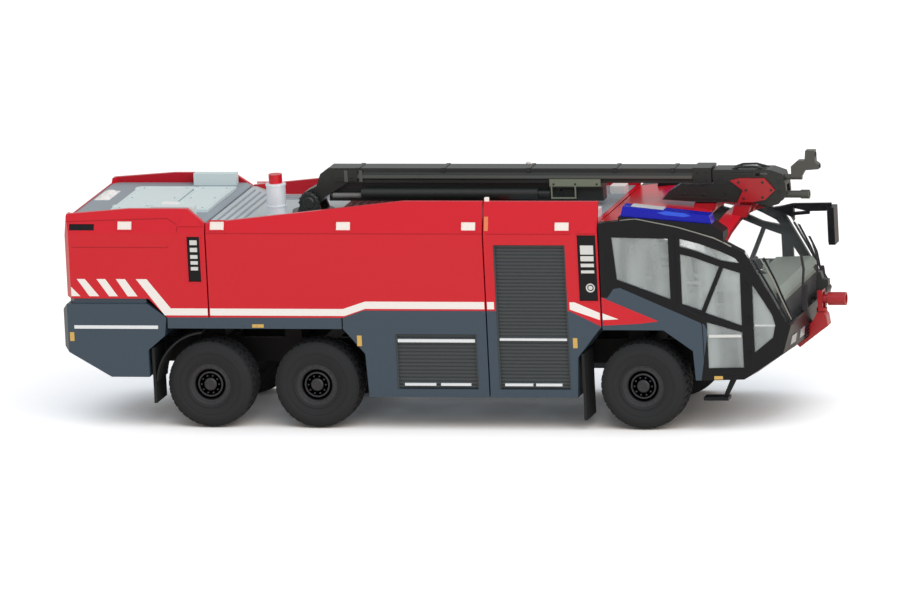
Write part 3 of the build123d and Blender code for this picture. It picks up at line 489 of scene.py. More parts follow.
def addTube(bm, points, radius, steps=8, hands=(1, -1)):
    # A round bead that follows these points, on both sides
    for hand in hands:
        path = [Vector((x, hand * y, z)) for x, y, z in points]
        rings = []
        for i, point in enumerate(path):
            along = path[min(len(path) - 1, i + 1)] - path[max(0, i - 1)]
            turn = along.normalized().to_track_quat("Z", "Y")
            rings.append([point + turn @ Vector((a, b, 0)) for a, b in circle((0, 0), radius, steps)])
        addShell(bm, rings)


def addBevelBlock(bm, x0, x1, y0, y1, z0, z1, edge):
    # A block with chamfers on its upright edges and round its top
    rings = []
    for inset, z in [(0, z0), (0, z1 - edge), (edge, z1)]:
        a0, a1, b0, b1 = x0 + inset, x1 - inset, y0 + inset, y1 - inset
        rings.append([
            (a0 + edge, b0, z), (a1 - edge, b0, z), (a1, b0 + edge, z), (a1, b1 - edge, z),
            (a1 - edge, b1, z), (a0 + edge, b1, z), (a0, b1 - edge, z), (a0, b0 + edge, z),
        ])
    addShell(bm, rings)


# Tyres: a rounded carcass with sidewall rings, and blocks of tread all the way round
tyreShape = {
    "radius": 15.7,
    "outer": 33.6,     # outer face, from the centre plane
    "width": 13.6,
    "rim": 7.6,
    "steps": 144,
    "lugs": 36,
    "grooveDepth": 0.55,
    "lugRoot": 0.3,            # how deep the blocks stand in the carcass
    "shoulder": (1.3, 0.45),   # blocks this near a face end lower by this much
    "rows": [
        # start and end across from the outer face, slant, phase, share of the pitch
        (1.15, 4.3, 0.10, 0.0, 0.72), (4.75, 6.6, -0.16, 0.5, 0.66),
        (7.0, 8.85, 0.16, 0.0, 0.66), (9.3, 12.45, -0.10, 0.5, 0.72),
    ],
    "axles": {"rear": -85.2, "middle": -46.3, "front": 71.8},
}


def tyreProfile(shape):
    outer, inner = shape["outer"], shape["outer"] - shape["width"]
    tread = shape["radius"] - shape["grooveDepth"]
    rim = shape["rim"]
    half = [  # from the rim out to the tread: across from the outer face, radius
        (0.75, rim - 0.25), (0.35, rim + 0.1), (0.22, rim + 0.7), (0.45, rim + 0.85), (0.38, rim + 1.5),
        (0.1, rim + 2.2), (0.02, rim + 3.2), (0.12, rim + 3.3), (0.1, rim + 3.45), (0.0, rim + 3.6),
        (0.05, 12.4), (0.3, 13.3), (0.42, 13.35), (0.5, 13.5), (0.65, 13.95), (1.1, 14.5),
        (1.5, tread), (2.2, tread),
    ]
    return [(outer - a, r) for a, r in half] + [(inner + a, r) for a, r in reversed(half)]


def addLugs(bm, shape, x0):
    # Tread blocks: two shoulder rows and two staggered middle rows
    axleZ = shape["radius"]
    low = shape["radius"] - shape["grooveDepth"] - shape["lugRoot"]
    edge, drop = shape["shoulder"]
    pitch = 2 * math.pi / shape["lugs"]
    for start, end, slant, phase, share in shape["rows"]:
        half = share / 2
        corners = [(start, -half - slant), (start, half - slant), (end, half + slant), (end, slant - half)]
        for k in range(shape["lugs"]):
            foot, top = [], []
            for across, turn in corners:
                angle = (k + phase + turn) * pitch
                high = shape["radius"] - (0.0 if edge < across < shape["width"] - edge else drop)
                for ring, reach in ((foot, low), (top, high)):
                    x, z = x0 + reach * math.cos(angle), axleZ + reach * math.sin(angle)
                    ring.append((x, shape["outer"] - across, z))
            addShells(bm, [foot, top])


def makeTyres(shape):
    for place, x in shape["axles"].items():
        bm = bmesh.new()
        addTurned(bm, tyreProfile(shape), (x, shape["radius"]), shape["steps"], loop=True)
        addLugs(bm, shape, x)
        piece = addPiece(place + "Tyres", bm, "tyreBlack", place + "_axle", smooth=True, sharp=38)
        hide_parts(place + "_tyres")


makeTyres(tyreShape)
print("tyres ready")

# Wheel centres: a domed cap and nuts on the hub, a studded flange, and between them a matte black ring,
# darker than the dark hub, that paints the shade in the recess
hubShape = {
    "steps": 56,
    "turned": [
        # the cap, the hub's face and the flange: across from the centre plane, and radius
        [
            (31.5, 2.35), (32.5, 2.25), (32.85, 1.9), (32.95, 1.3),
            (32.75, 1.15), (32.75, 0.5), (32.6, 0.4), (32.6, 0.02),
        ],
        [(31.4, 4.6), (32.25, 4.6), (32.45, 4.4), (32.45, 4.05), (32.2, 3.9), (32.1, 2.2)],
        [
            (32.2, 7.5), (32.95, 7.45), (33.0, 7.2), (32.75, 7.0),
            (32.7, 6.2), (32.85, 6.05), (32.75, 5.8), (32.2, 5.75),
        ],
    ],
    "recess": [(29.4, 5.55), (32.35, 5.55), (32.35, 5.35), (29.75, 5.3), (29.75, 4.6), (29.4, 4.6)],
    "studs": [
        # radius of their circle, how many, then radius, foot and top across from the centre plane
        (3.15, 10, 0.36, 31.9, 32.7), (6.6, 18, 0.2, 32.4, 33.0),
    ],
}


def makeHubs(shape, tyres):
    for place, x in tyres["axles"].items():
        centre = (x, tyres["radius"])
        bm, dark = newMeshes(2)
        for profile in shape["turned"]:
            addTurned(bm, profile, centre, shape["steps"])
        # painted shade: a matte black ring lines the recess between hub and flange
        addTurned(dark, shape["recess"], centre, shape["steps"], loop=True)
        for reach, count, *stud in shape["studs"]:
            addStuds(bm, circle(centre, reach, count), stud)
        addPiece(place + "Hubs", bm, "hubGrey", place + "_axle", smooth=True, sharp=30)
        addPiece(place + "HubRecess", dark, "recessBlack", place + "_axle")


makeHubs(hubShape, tyreShape)
print("hubs ready")

# Printed stripes and small markers, laid on the body's sides
stripes = {
    "white": [
        # outlines in X and Z
        [(-109.8, 54.0), (-105.9, 54.0), (-97.6, 43.5), (-84.2, 43.5), (-84.2, 41.0), (-99.9, 41.0)],
        [(-83.3, 41.0), (-34.4, 41.0), (-26.8, 43.6), (-26.8, 46.2), (-34.9, 43.5), (-83.3, 43.5)],
        [(-26.8, 43.6), (16.4, 43.6), (16.4, 46.2), (-26.8, 46.2)],
        [(17.4, 43.6), (19.9, 43.6), (19.9, 46.2), (17.4, 46.2)],
        [(47.2, 43.6), (57.9, 39.9), (57.9, 42.4), (49.0, 46.2), (47.2, 46.2)],
        [(-131.4, 54.0), (-128.5, 54.0), (-123.5, 47.8), (-127.1, 47.8)],
        [(-124.2, 54.0), (-121.0, 54.0), (-116.7, 47.8), (-119.9, 47.8)],
        [(-117.1, 54.0), (-113.8, 54.0), (-109.5, 47.8), (-113.1, 47.8)],
        [(-133.7, 51.2), (-130.4, 47.8), (-133.7, 47.8)],
    ],
    "lift": 0.03,
    "sink": 0.12,
    "markerLift": 0.12,
    "markerSink": 0.2,
}
markers = [
    # name, X and Z window, finish
    ("tailMarker", -135.0, -133.4, 31.6, 34.8, "markerYellow"),
    ("lockerMarker", -30.3, -28.6, 30.2, 34.0, "markerYellow"),
    ("frontMarker", 47.8, 49.4, 29.8, 33.4, "markerYellow"),
    ("archMarker", -68.2, -64.0, 36.7, 37.9, "markerYellow"),
    ("splitMarker", 17.5, 18.9, 71.6, 76.4, "markerAmber"),
]


def makeStripes(spec):
    bm = bmesh.new()
    for outline in spec["white"]:
        addPatch(bm, bodySide, outline, spec["lift"], spec["sink"])
    addPiece("whiteStripes", bm, "stripeWhite")
    for name, *window, finish in markers:
        bm = bmesh.new()
        addPatch(bm, bodySide, rectangle(*window), spec["markerLift"], spec["markerSink"])
        addPiece(name, bm, finish)


makeStripes(stripes)
print("stripes ready")

# The cab's outside: heights with the nose's X, and stations with the roof's Z, at the side and in the middle
cabShape = {
    "taper": 95.0,     # ahead of this the sides draw in towards the posts
    "post": 33.0,
    "roofHalf": 35.8,
    "noses": [
        (18.4, 108.4, 111.5), (27.7, 122.7, 125.0), (37.7, 125.9, 126.2),
        (53.2, 117.3, 127.0), (61.4, 112.7, 124.8), (80.0, 102.3, 117.0),
    ],
    "roofs": [
        (56.7, 74.2, 74.0), (72.0, 75.9, 74.9), (87.0, 72.8, 74.0),
        (101.0, 68.5, 71.8), (112.7, 61.4, 69.2), (135.0, 48.0, 62.0),
    ],
}


def between(table, at):
    # The two values of a table at this place, on straight lines between its rows
    for (a0, b0, c0), (a1, b1, c1) in zip(table, table[1:]):
        if at <= a1:
            share = (at - a0) / (a1 - a0)
            return b0 + (b1 - b0) * share, c0 + (c1 - c0) * share
    return table[-1][1:]


def nosePoint(z, share, lift):
    sideX, centreX = between(cabShape["noses"], z)
    return (centreX - (centreX - sideX) * share * share + lift, cabShape["post"] * share, z)


def roofPoint(x, share, lift):
    sideZ, centreZ = between(cabShape["roofs"], x)
    return (x, cabShape["roofHalf"] * share, centreZ - (centreZ - sideZ) * share * share + lift)


def cabSide(x, z):
    # How far the cab's side stands from the centre plane, which draws in ahead of the taper
    if x <= cabShape["taper"]:
        return side
    sideX = between(cabShape["noses"], z)[0]
    return side - (side - cabShape["post"]) * min(1.0, (x - cabShape["taper"]) / (sideX - cabShape["taper"]))


# Paint on the cab's sides: the red wedge with the stripe's end, and the bright line along the tail
cabPaint = {
    "wedge": [(58.9, 48.0), (61.2, 46.9), (79.0, 39.5), (72.0, 38.6), (58.9, 37.9)],
    "stripe": [(58.9, 42.3), (64.6, 40.2), (58.9, 39.9)],
    "tailLine": [(-133.2, 36.1), (-102.6, 36.1), (-102.6, 37.3), (-133.2, 37.3)],
    "sink": 0.15,
}


def makePaint(paint):
    for name, outline, lift, finish, slot in [
        ("cabWedges", paint["wedge"], 0.04, "bodyRed", "body_red"),
        ("cabStripes", paint["stripe"], 0.08, "stripeWhite", "lamp_white"),
        ("tailLines", paint["tailLine"], 0.15, "stackSilver", "stack_silver"),
    ]:
        bm = bmesh.new()
        addPatch(bm, cabSide, outline, lift, paint["sink"])
        addPiece(name, bm, finish)


makePaint(cabPaint)

# Bezels round the side lamps and the dark light panels, and thin ribs across the lamps
bezels = {
    "lamps": [-113.1, -79.4, -33.5, 11.8, 45.5],
    "lampHalf": 2.55,
    "lampZ": (71.75, 74.55),
    "lampWidth": 0.5,
    "panels": [(-90.5, -85.9, 53.1, 69.3), (50.9, 57.6, 46.7, 70.2)],
    "width": 0.32,
    "lift": 0.16,
    "sink": 0.1,
    "ribs": (-1.4, 0.0, 1.4),
    "ribHalf": 0.12,
    "ribInset": 0.3,
    "ribLift": 0.06,
}


def addFrame(bm, window, width, lift, sink):
    # A flat frame round a window, from four mitred pieces
    x0, x1, z0, z1 = window
    inner = rectangle(x0, x1, z0, z1)
    outer = rectangle(x0 - width, x1 + width, z0 - width, z1 + width)
    for i in range(4):
        j = (i + 1) % 4
        addPatch(bm, bodySide, [outer[i], outer[j], inner[j], inner[i]], lift, sink)


def makeBezels(spec):
    frames, ribs = newMeshes(2)
    half, ribHalf, inset = spec["lampHalf"], spec["ribHalf"], spec["ribInset"]
    lift, sink = spec["lift"], spec["sink"]
    z0, z1 = spec["lampZ"]
    for x in spec["lamps"]:
        addFrame(frames, (x - half, x + half, z0, z1), spec["lampWidth"], lift, sink)
        for shift in spec["ribs"]:
            rib = rectangle(x + shift - ribHalf, x + shift + ribHalf, z0 + inset, z1 - inset)
            addPatch(ribs, bodySide, rib, spec["ribLift"], sink)
    for window in spec["panels"]:
        addFrame(frames, window, spec["width"], lift, sink)
    addPiece("lampBezels", frames, "bodyRed")
    addPiece("lampRibs", ribs, "lampWhite")


makeBezels(bezels)

# Brows above the light panels, which stand out at their lower edges, and painted shade lines along the body's
# creases
brows = {
    "outlines": [
        # the two lower corners, then the top, in X and Z
        [(-93.9, 73.0), (-84.4, 73.0), (-91.0, 77.6)], [(50.6, 70.9), (58.0, 70.9), (57.8, 75.0)],
    ],
    "depth": 0.45,
    "creases": [
        # points along a painted shade line at a crease, in X and Z
        [(-83.4, 70.5), (16.6, 70.5)], [(18.0, 70.5), (48.5, 70.5)],
        [(-132.5, 65.4), (-97.8, 65.4), (-94.0, 71.0), (-94.0, 72.6)],
        [(-134.6, 74.4), (-97.8, 75.6), (-94.2, 73.6)],
    ],
    "creaseHalf": 0.2,
    "creaseLift": 0.025,
    "sink": 0.1,
}


def makeBrows(spec):
    bm = bmesh.new()
    sink, depth = spec["sink"], spec["depth"]
    for outline in spec["outlines"]:
        for hand in (1, -1):
            a, b, c = [bm.verts.new((x, hand * (bodySide(x, z) - sink), z)) for x, z in outline]
            d, e = [bm.verts.new((x, hand * (bodySide(x, z) + depth), z)) for x, z in outline[:2]]
            for face in [(a, b, c), (a, b, e, d), (d, e, c), (a, d, c), (b, e, c)]:
                bm.faces.new(face)
    addPiece("panelBrows", bm, "bodyRed")
    # painted shade: thin darker red strips where the creases shade the paint
    bm = bmesh.new()
    for points in spec["creases"]:
        for (x0, z0), (x1, z1) in zip(points, points[1:]):
            along = Vector((x1 - x0, z1 - z0)).normalized() * spec["creaseHalf"]
            outline = [
                (x0 + along.y, z0 - along.x), (x1 + along.y, z1 - along.x),
                (x1 - along.y, z1 + along.x), (x0 - along.y, z0 + along.x),
            ]
            addPatch(bm, bodySide, outline, spec["creaseLift"], sink)
    addPiece("paintCreases", bm, "shadeRed")


makeBrows(brows)

# Filler caps on the front light panels
fillerCap = {
    "centre": (54.9, 51.3),
    "ring": [(34.0, 1.65), (34.55, 1.6), (34.6, 1.35), (34.45, 1.15), (34.0, 1.1)],
    "core": [(34.0, 0.85), (34.45, 0.8), (34.5, 0.6), (34.5, 0.02)],
    "steps": (28, 20),
    "studs": (0.98, 4, math.pi / 4),    # radius of their circle, how many, first angle
    "stud": (0.16, 34.0, 34.5),         # radius, foot and top across from the centre plane
}


def makeFillerCaps(cap):
    pale, dark = newMeshes(2)
    ringSteps, coreSteps = cap["steps"]
    addTurned(pale, cap["ring"], cap["centre"], ringSteps, loop=True)
    addTurned(pale, cap["core"], cap["centre"], coreSteps)
    addStuds(dark, circle(cap["centre"], *cap["studs"]), cap["stud"])
    addPiece("fillerCaps", pale, "lightClear")
    addPiece("fillerCapStuds", dark, "flapBlack")


makeFillerCaps(fillerCap)

# Small lamps on the roof edge at the groove
edgeLamps = {"window": (17.3, 19.0, 81.4, 82.9), "inset": 0.15, "depth": 1.3, "edge": 0.2}


def makeEdgeLamps(spec):
    bm = bmesh.new()
    x0, x1, z0, z1 = spec["window"]
    outer = bodySide(x0, z0) - spec["inset"]
    inner = outer - spec["depth"]
    for y0, y1 in [(-outer, -inner), (inner, outer)]:
        addBevelBlock(bm, x0, x1, y0, y1, z0, z1, spec["edge"])
    addPiece("edgeLamps", bm, "lampWhite")


makeEdgeLamps(edgeLamps)
print("side fittings ready")

# Windscreen seals: a black bead on the corner of the nose, a pale one inside it, then a black one
seals = {
    "beads": {
        # share of the nose's half width, radius, lift, finish
        "black": (0.985, 0.42, 0.0, "cabBlack"),
        "pale": (0.90, 0.26, 0.12, "sealGrey"),
        "inner": (0.86, 0.34, 0.05, "cabBlack"),
    },
    "heights": (39.2, 61.0, 15),
}


def makeSeals(spec):
    for name, (share, radius, lift, finish) in spec["beads"].items():
        bm = bmesh.new()
        addTube(bm, [nosePoint(z, share, lift) for z in spread(*spec["heights"])], radius)
        addPiece(name + "Seals", bm, finish, smooth=True)


makeSeals(seals)

# Cab doors: seams, handles and hinges, and the sill's marker lamp
doorFittings = {
    # a lift over the cab's side and a sink under it end each of these rows
    "sillMarker": ((98.0, 101.0, 18.7, 19.9), 0.2, 0.3),
    "hinges": [(110.6, 52.0), (110.9, 40.0), (110.9, 27.5)],
    "hinge": (0.5, 1.1, 0.35, 0.2),
    "handle": (94.4, 43.0, 0.12, 0.3),
    "handleRadius": 0.3,
    "seamLift": 0.02,
    "seamRadius": 0.14,
    "seam": [(86.0, 70.4), (86.0, 45.6), (92.9, 41.6), (94.6, 38.0), (94.8, 20.6), (110.4, 20.6)],
}


def makeDoors(spec):
    bm = bmesh.new()
    halfX, halfZ, lift, sink = spec["hinge"]
    for x, z in spec["hinges"]:
        addPatch(bm, cabSide, rectangle(x - halfX, x + halfX, z - halfZ, z + halfZ), lift, sink)
    x, z, lift, sink = spec["handle"]
    foot, grip = cabSide(x, z) - sink, cabSide(x, z) + lift
    rear = [(x - 2.4, foot, z + 1.0), (x - 2.2, grip, z + 0.9)]
    front = [(x + 1.6, grip, z - 0.8), (x + 1.8, foot, z - 0.9)]
    addTube(bm, rear + front, spec["handleRadius"])
    seam = [(a, cabSide(a, b) + spec["seamLift"], b) for a, b in spec["seam"]]
    addTube(bm, seam, spec["seamRadius"], 6)
    addPiece("doorFittings", bm, "cabBlack")
    bm = bmesh.new()
    window, lift, sink = spec["sillMarker"]
    addPatch(bm, cabSide, rectangle(*window), lift, sink)
    addPiece("sillMarkers", bm, "markerYellow")


makeDoors(doorFittings)

# Pale strips across the lower panes and glints and top strips on the light bars, all painted highlights, and
# pale gutters under the light bars
edgeTrim = {
    # painted highlight: a pale strip across the lower pane
    "paneBar": (96.7, 108.2, 33.7, 34.7),
    "paneBarDepths": (-0.05, 0.4),
    "gutter": (66.5, 106.0, 14),
    "gutterShare": 0.955,
    "gutterRadius": 0.24,
    "gutterLift": 0.1,
    "sideAt": 60.0,    # the gutter stays inside the cab's side at this height
    # painted glint on the light bar's side, then a painted highlight strip along its top
    "glint": [(79.8, 78.0), (82.4, 77.2), (89.6, 76.5), (92.0, 76.9), (89.8, 77.8), (83.0, 78.6)],
    "glintY": (33.2, 33.5),
    "capStrip": [(70.5, 80.05), (82.0, 78.85), (82.0, 79.15), (70.5, 80.35)],
    "capY": (28.6, 32.6),
}


def makeEdgeTrim(spec):
    bars, beads, glints, topShine = newMeshes(4)
    addPatch(bars, cabSide, rectangle(*spec["paneBar"]), *spec["paneBarDepths"])
    points = []
    for station in spread(*spec["gutter"]):
        x, y, z = roofPoint(station, spec["gutterShare"], spec["gutterLift"])
        points.append((x, min(y, cabSide(x, spec["sideAt"])), z))
    addTube(beads, points, spec["gutterRadius"])
    addPair(glints, spec["glint"], *spec["glintY"])
    addPair(topShine, spec["capStrip"], *spec["capY"])
    # the pane strips, bar glints and top strips are painted highlights
    addPiece("paneBars", bars, "lightClear")
    addPiece("roofGutters", beads, "sealGrey", smooth=True)
    addPiece("barLights", glints, "blueBright")
    addPiece("barCaps", topShine, "lightClear")


makeEdgeTrim(edgeTrim)

# Lining under the cab's roof, left open under the clear roof light
lining = {
    "stations": (60.6, 102.6, 15),
    "shares": (-0.86, 0.86, 11),
    "drop": 1.9,
    "hole": (92.0, 98.4, 17.5),
    "thickness": 0.0003,
}


def makeLining(spec):
    bm = bmesh.new()
    grid = []
    shares = spread(*spec["shares"])
    for x in spread(*spec["stations"]):
        grid.append([bm.verts.new(roofPoint(x, share, -spec["drop"])) for share in shares])
    low, high, half = spec["hole"]
    for near, far in zip(grid, grid[1:]):
        for j in range(len(near) - 1):
            corners = (near[j], far[j], far[j + 1], near[j + 1])
            middle = sum((corner.co for corner in corners), Vector()) / 4
            if not (low < middle.x < high and abs(middle.y) < half):
                bm.faces.new(corners)
    piece = addPiece("roofLining", bm, "interiorGrey")
    thick = piece.modifiers.new("thickness", "SOLIDIFY")
    thick.thickness = spec["thickness"]


makeLining(lining)

# Inside the cab: a cap, screens and a dark apron on the dash, belt rails, and headrests, backs and armrests
cabin = {
    "dashHalf": 28.5,
    "dashCap": [
        (105.8, 46.2), (107.3, 49.2), (120.4, 49.7), (122.3, 47.4),
        (120.6, 48.6), (107.6, 48.2), (106.2, 45.8),
    ],
    "apron": [(120.2, 48.4), (121.6, 47.4), (121.8, 38.0), (119.4, 28.6), (118.6, 28.6), (120.8, 38.0)],
    "rails": (94.0, 114.6, 44.9, 48.6),
    "railY": (27.7, 28.9),
    "screen": [(107.2, 49.0), (107.8, 51.8), (108.6, 51.8), (108.4, 49.1)],
    "screens": [-9.0, 9.0],
    "screenHalf": 3.0,
    "seats": [(97.0, 0.0), (90.0, -21.0), (90.0, 21.0), (70.0, -12.0), (70.0, 12.0)],
    "seatTop": 58.5,
    "headrest": [(-5.2, 0.0), (-5.3, 3.6), (-4.6, 4.2), (-3.6, 4.0), (-3.1, 0.4)],
    "back": [(-3.4, -9.0), (-2.2, -8.6), (-3.0, -1.2), (-3.7, -0.6)],
    "armrest": [(-3.0, -7.2), (3.2, -7.6), (3.4, -6.6), (-3.0, -6.0)],
}
seatPads = [
    # outline, and its start and end across from the seat's middle
    ("headrest", -3.0, 3.0), ("back", -5.6, 5.6), ("armrest", -6.2, -5.0), ("armrest", 5.0, 6.2),
]


def makeCabin(spec):
    half = spec["dashHalf"]
    bm = bmesh.new()
    addPrism(bm, spec["dashCap"], "Y", -half, half)
    for y in spec["screens"]:
        addPrism(bm, spec["screen"], "Y", y - spec["screenHalf"], y + spec["screenHalf"])
    addPiece("dashCap", bm, "dashGrey")
    bm = bmesh.new()
    addBoxes(bm, [spec["rails"]], spec["railY"])
    addPrism(bm, spec["apron"], "Y", -half, half)
    addPiece("beltRails", bm, "dashBlack")
    bm = bmesh.new()
    for x, y in spec["seats"]:
        for name, start, end in seatPads:
            outline = [(x + a, spec["seatTop"] + b) for a, b in spec[name]]
            addPrism(bm, outline, "Y", y + start, y + end)
    addPiece("seatPads", bm, "interiorGrey")


makeCabin(cabin)
print("cab ready")

# Roof: lid frames with hinges, handles and bolts, vents, white boxes, ribs, strips and the bed under the boom
roofFittings = {
    "lids": [(-122.0, -101.2), (-100.4, -86.4)],
    "lidHalf": 20.0,
    "lidTop": 76.0,
    "vents": [(-130.6, 4.0), (-130.6, 12.6)],
    "ventZ": 75.0,
    "ventBolts": (2.15, 6),
    "ramp": (-81.4, 1.9, 4),                  # first rib, spacing and how many
    "rampLine": (-82.15, 73.6, 3.0 / 7.2),    # a point on the ramp, and how steeply it falls
    "rampHalf": 27.0,
    "bed": (-44.6, 14.6, 21.0),
    "bedZ": 70.6,
    "treads": (1.6, 2.65, 22),                # first tread from the bed's end, spacing and how many
    "treadRows": (-17.5, -12.5, 12.5, 17.5),
    "tread": [(0.0, -1.9), (0.5, -1.9), (1.5, 1.9), (1.0, 1.9)],
    "strips": [24.0, 26.6, 29.2],
    "stripX": (-74.0, 14.0),
    "stripHalf": 0.35,
    "whiteBits": [
        # X from and to, Y from and to, Z from and to
        (-133.6, -128.0, 0.6, 16.0, 74.9, 75.25), (-104.6, -98.6, -15.4, -12.4, 75.9, 77.3),
        (50.7, 56.2, 17.5, 22.5, 74.1, 77.0), (50.7, 56.2, -22.5, -17.5, 74.1, 77.0),
    ],
}


def addLid(pale, grey, x0, x1, half, top):
    # A raised frame, two hinges and a handle in the pale mesh, and bolts in the grey one
    low, high = top - 0.1, top + 0.22
    addPair(pale, rectangle(x0 + 0.8, x1 - 0.8, low, high), half - 1.4, half - 0.8)
    for a, b in [(x0 + 0.8, x0 + 1.4), (x1 - 1.4, x1 - 0.8)]:
        addBlock(pale, a, b, -half + 1.4, half - 1.4, low, high)
    for y in (-half + 4.5, half - 4.5):
        addBevelBlock(pale, x0 - 0.2, x0 + 1.0, y - 1.4, y + 1.4, top - 0.9, top + 0.5, 0.15)
    y = -half + 3.0
    handle = [(x1 - 4.6, y, top), (x1 - 4.6, y, top + 0.9), (x1 - 8.4, y, top + 0.9), (x1 - 8.4, y, top)]
    addTube(pale, handle, 0.28, hands=(1,))
    for x in (x0 + 2.6, x1 - 2.6):
        for y in (-half + 3.0, 0.0, half - 3.0):
            addUprightStud(grey, (x, y), top - 0.05, 0.32, 0.22)


def makeRoofFittings(spec):
    pale, dark, grey, white = newMeshes(4)
    for x0, x1 in spec["lids"]:
        addLid(pale, grey, x0, x1, spec["lidHalf"], spec["lidTop"])
    for box in spec["whiteBits"]:
        addBevelBlock(white, *box, 0.12)
    for vent in spec["vents"]:
        addUprightStud(white, vent, spec["ventZ"] - 0.1, 2.7, 0.7, 28)
        addUprightStud(white, vent, spec["ventZ"] + 0.5, 1.7, 0.6, 24)
        for bolt in circle(vent, *spec["ventBolts"]):
            addUprightStud(grey, bolt, spec["ventZ"] + 0.3, 0.2, 0.25, 6)
    start, pitch, count = spec["ramp"]
    foot, height, fall = spec["rampLine"]
    for k in range(count):
        x = start + pitch * k
        z = height - (x - foot) * fall
        rib = [(x - 0.3, z - 0.2), (x + 0.3, z - 0.4), (x + 0.3, z + 0.1), (x - 0.3, z + 0.3)]
        addPrism(grey, rib, "Y", -spec["rampHalf"], spec["rampHalf"])
    x0, x1, half = spec["bed"]
    z = spec["bedZ"]
    addBevelBlock(dark, x0, x1, -half, half, z - 0.05, z + 0.35, 0.1)
    start, pitch, count = spec["treads"]
    for k in range(count):
        x = x0 + start + k * pitch
        for y in spec["treadRows"]:
            addPrism(dark, [(x + a, y + b) for a, b in spec["tread"]], "Z", z + 0.3, z + 0.55)
    half = spec["stripHalf"]
    for y in spec["strips"]:
        addPair(grey, rectangle(*spec["stripX"], z - 0.05, z + 0.25), y - half, y + half)
    addPiece("lidFittings", pale, "hatchWhite")
    addPiece("roofFittings", white, "stripeWhite")
    addPiece("boomBed", dark, "boomBlack")
    addPiece("roofRibs", grey, "roofGrey")


makeRoofFittings(roofFittings)

# Exhaust: bands round the stack
stackBands = {
    "centre": (-63.2, -12.0),
    "bands": [72.6, 76.0, 83.4],
    "profile": [(3.35, -0.35), (3.62, -0.25), (3.62, 0.25), (3.35, 0.35)],
    "steps": 40,
}


def makeStack(spec):
    bm = bmesh.new()
    for z in spec["bands"]:
        rings = []
        for radius, height in spec["profile"]:
            around = circle(spec["centre"], radius, spec["steps"])
            rings.append([(x, y, z + height) for x, y in around])
        addShell(bm, rings, loop=True)
    addPiece("stackBands", bm, "stackSilver", smooth=True, sharp=35)


makeStack(stackBands)
print("roof ready")

# Boom: knuckles on its pin, straps, bolts and a paler band on the tube, the band a painted highlight along
# the lit strip of its side, collar plates, sleeves on the rods
boomFittings = {
    "pin": (-53.0, 75.7),
    "knuckle": [(5.5, 3.5), (6.3, 3.5), (6.6, 3.1), (6.6, 2.3), (7.0, 2.1), (7.3, 1.7), (7.3, 0.02)],
    "teeth": (3.35, 14),           # radius of their circle, and how many
    "tooth": (0.5, 5.4, 6.5),      # radius, foot and top across from the centre plane
    "straps": [-35.0, -4.0, 27.0, 58.0, 79.0],
    "strapHalf": 0.7,
    "strapSides": (3.9, 4.35, 86.4, 87.85),      # across from and to, height from and to
    "strapTop": (-4.3, 4.3, 87.6, 87.9),
    "bolts": [(-42.0, 84.4), (-37.4, 84.4), (88.0, 83.6), (91.4, 83.6), (88.0, 86.6), (91.4, 86.6)],
    "bolt": (0.42, 4.4, 4.95),
    "collarBolts": [(36.0, 82.2), (43.8, 82.2), (51.6, 82.2)],
    "collarBolt": (0.4, 4.6, 5.15),
    # a small frame on the girder ahead of the ram
    "bracket": [
        (38.0, 43.4, 79.4, 79.9), (38.0, 43.4, 76.4, 76.9),
        (38.0, 38.5, 76.4, 79.9), (42.9, 43.4, 76.4, 79.9),
    ],
    "bracketY": (2.5, 3.3),
    "band": (-35.2, 86.0, 84.2, 85.3),
    "bandY": (4.35, 4.56),
    "bandStrapY": (4.4, 4.75),
    "bandStraps": [(-40.0, -38.8, 82.9, 87.0), (-34.6, -33.4, 82.9, 87.0)],
    "collar": [
        (34.5, 53.0, 81.4, 84.0), (34.9, 44.0, 77.0, 77.5),
        (43.5, 44.0, 77.5, 81.4), (34.9, 35.4, 77.5, 81.4),
    ],
    "collarY": (4.7, 4.95),
    "rod": [(-44.6, 3.6, 77.8), (-33.4, 3.6, 77.8)],
    "rodRadius": 0.92,
}


def makeBoomFittings(spec):
    bm = bmesh.new()
    addTurned(bm, spec["knuckle"], spec["pin"], 28)
    addStuds(bm, circle(spec["pin"], *spec["teeth"]), spec["tooth"])
    addPiece("pinKnuckles", bm, "boomBlack", "turntable")

    bm = bmesh.new()
    inner, outer, low, high = spec["strapSides"]
    for x in spec["straps"]:
        x0, x1 = x - spec["strapHalf"], x + spec["strapHalf"]
        addPair(bm, rectangle(x0, x1, low, high), inner, outer)
        addBlock(bm, x0, x1, *spec["strapTop"])
    addStuds(bm, spec["bolts"], spec["bolt"])
    addStuds(bm, spec["collarBolts"], spec["collarBolt"])
    addBoxes(bm, spec["bracket"], spec["bracketY"])
    addPiece("boomStraps", bm, "boomBlack", "boom")

    # painted highlight: the paler band along the lit strip of the tube's side, and the straps at the sleeve
    # joint in the same grey
    bm = bmesh.new()
    addBoxes(bm, [spec["band"]], spec["bandY"])
    addBoxes(bm, spec["bandStraps"], spec["bandStrapY"])
    addPiece("boomBands", bm, "boomWorn", "boom")
    bm = bmesh.new()
    addBoxes(bm, spec["collar"], spec["collarY"])
    addPiece("collarPlates", bm, "collarOlive", "boom")
    bm = bmesh.new()
    addTube(bm, spec["rod"], spec["rodRadius"], 20)
    addPiece("ramRods", bm, "rodGrey", "boom", smooth=True, sharp=40)


makeBoomFittings(boomFittings)

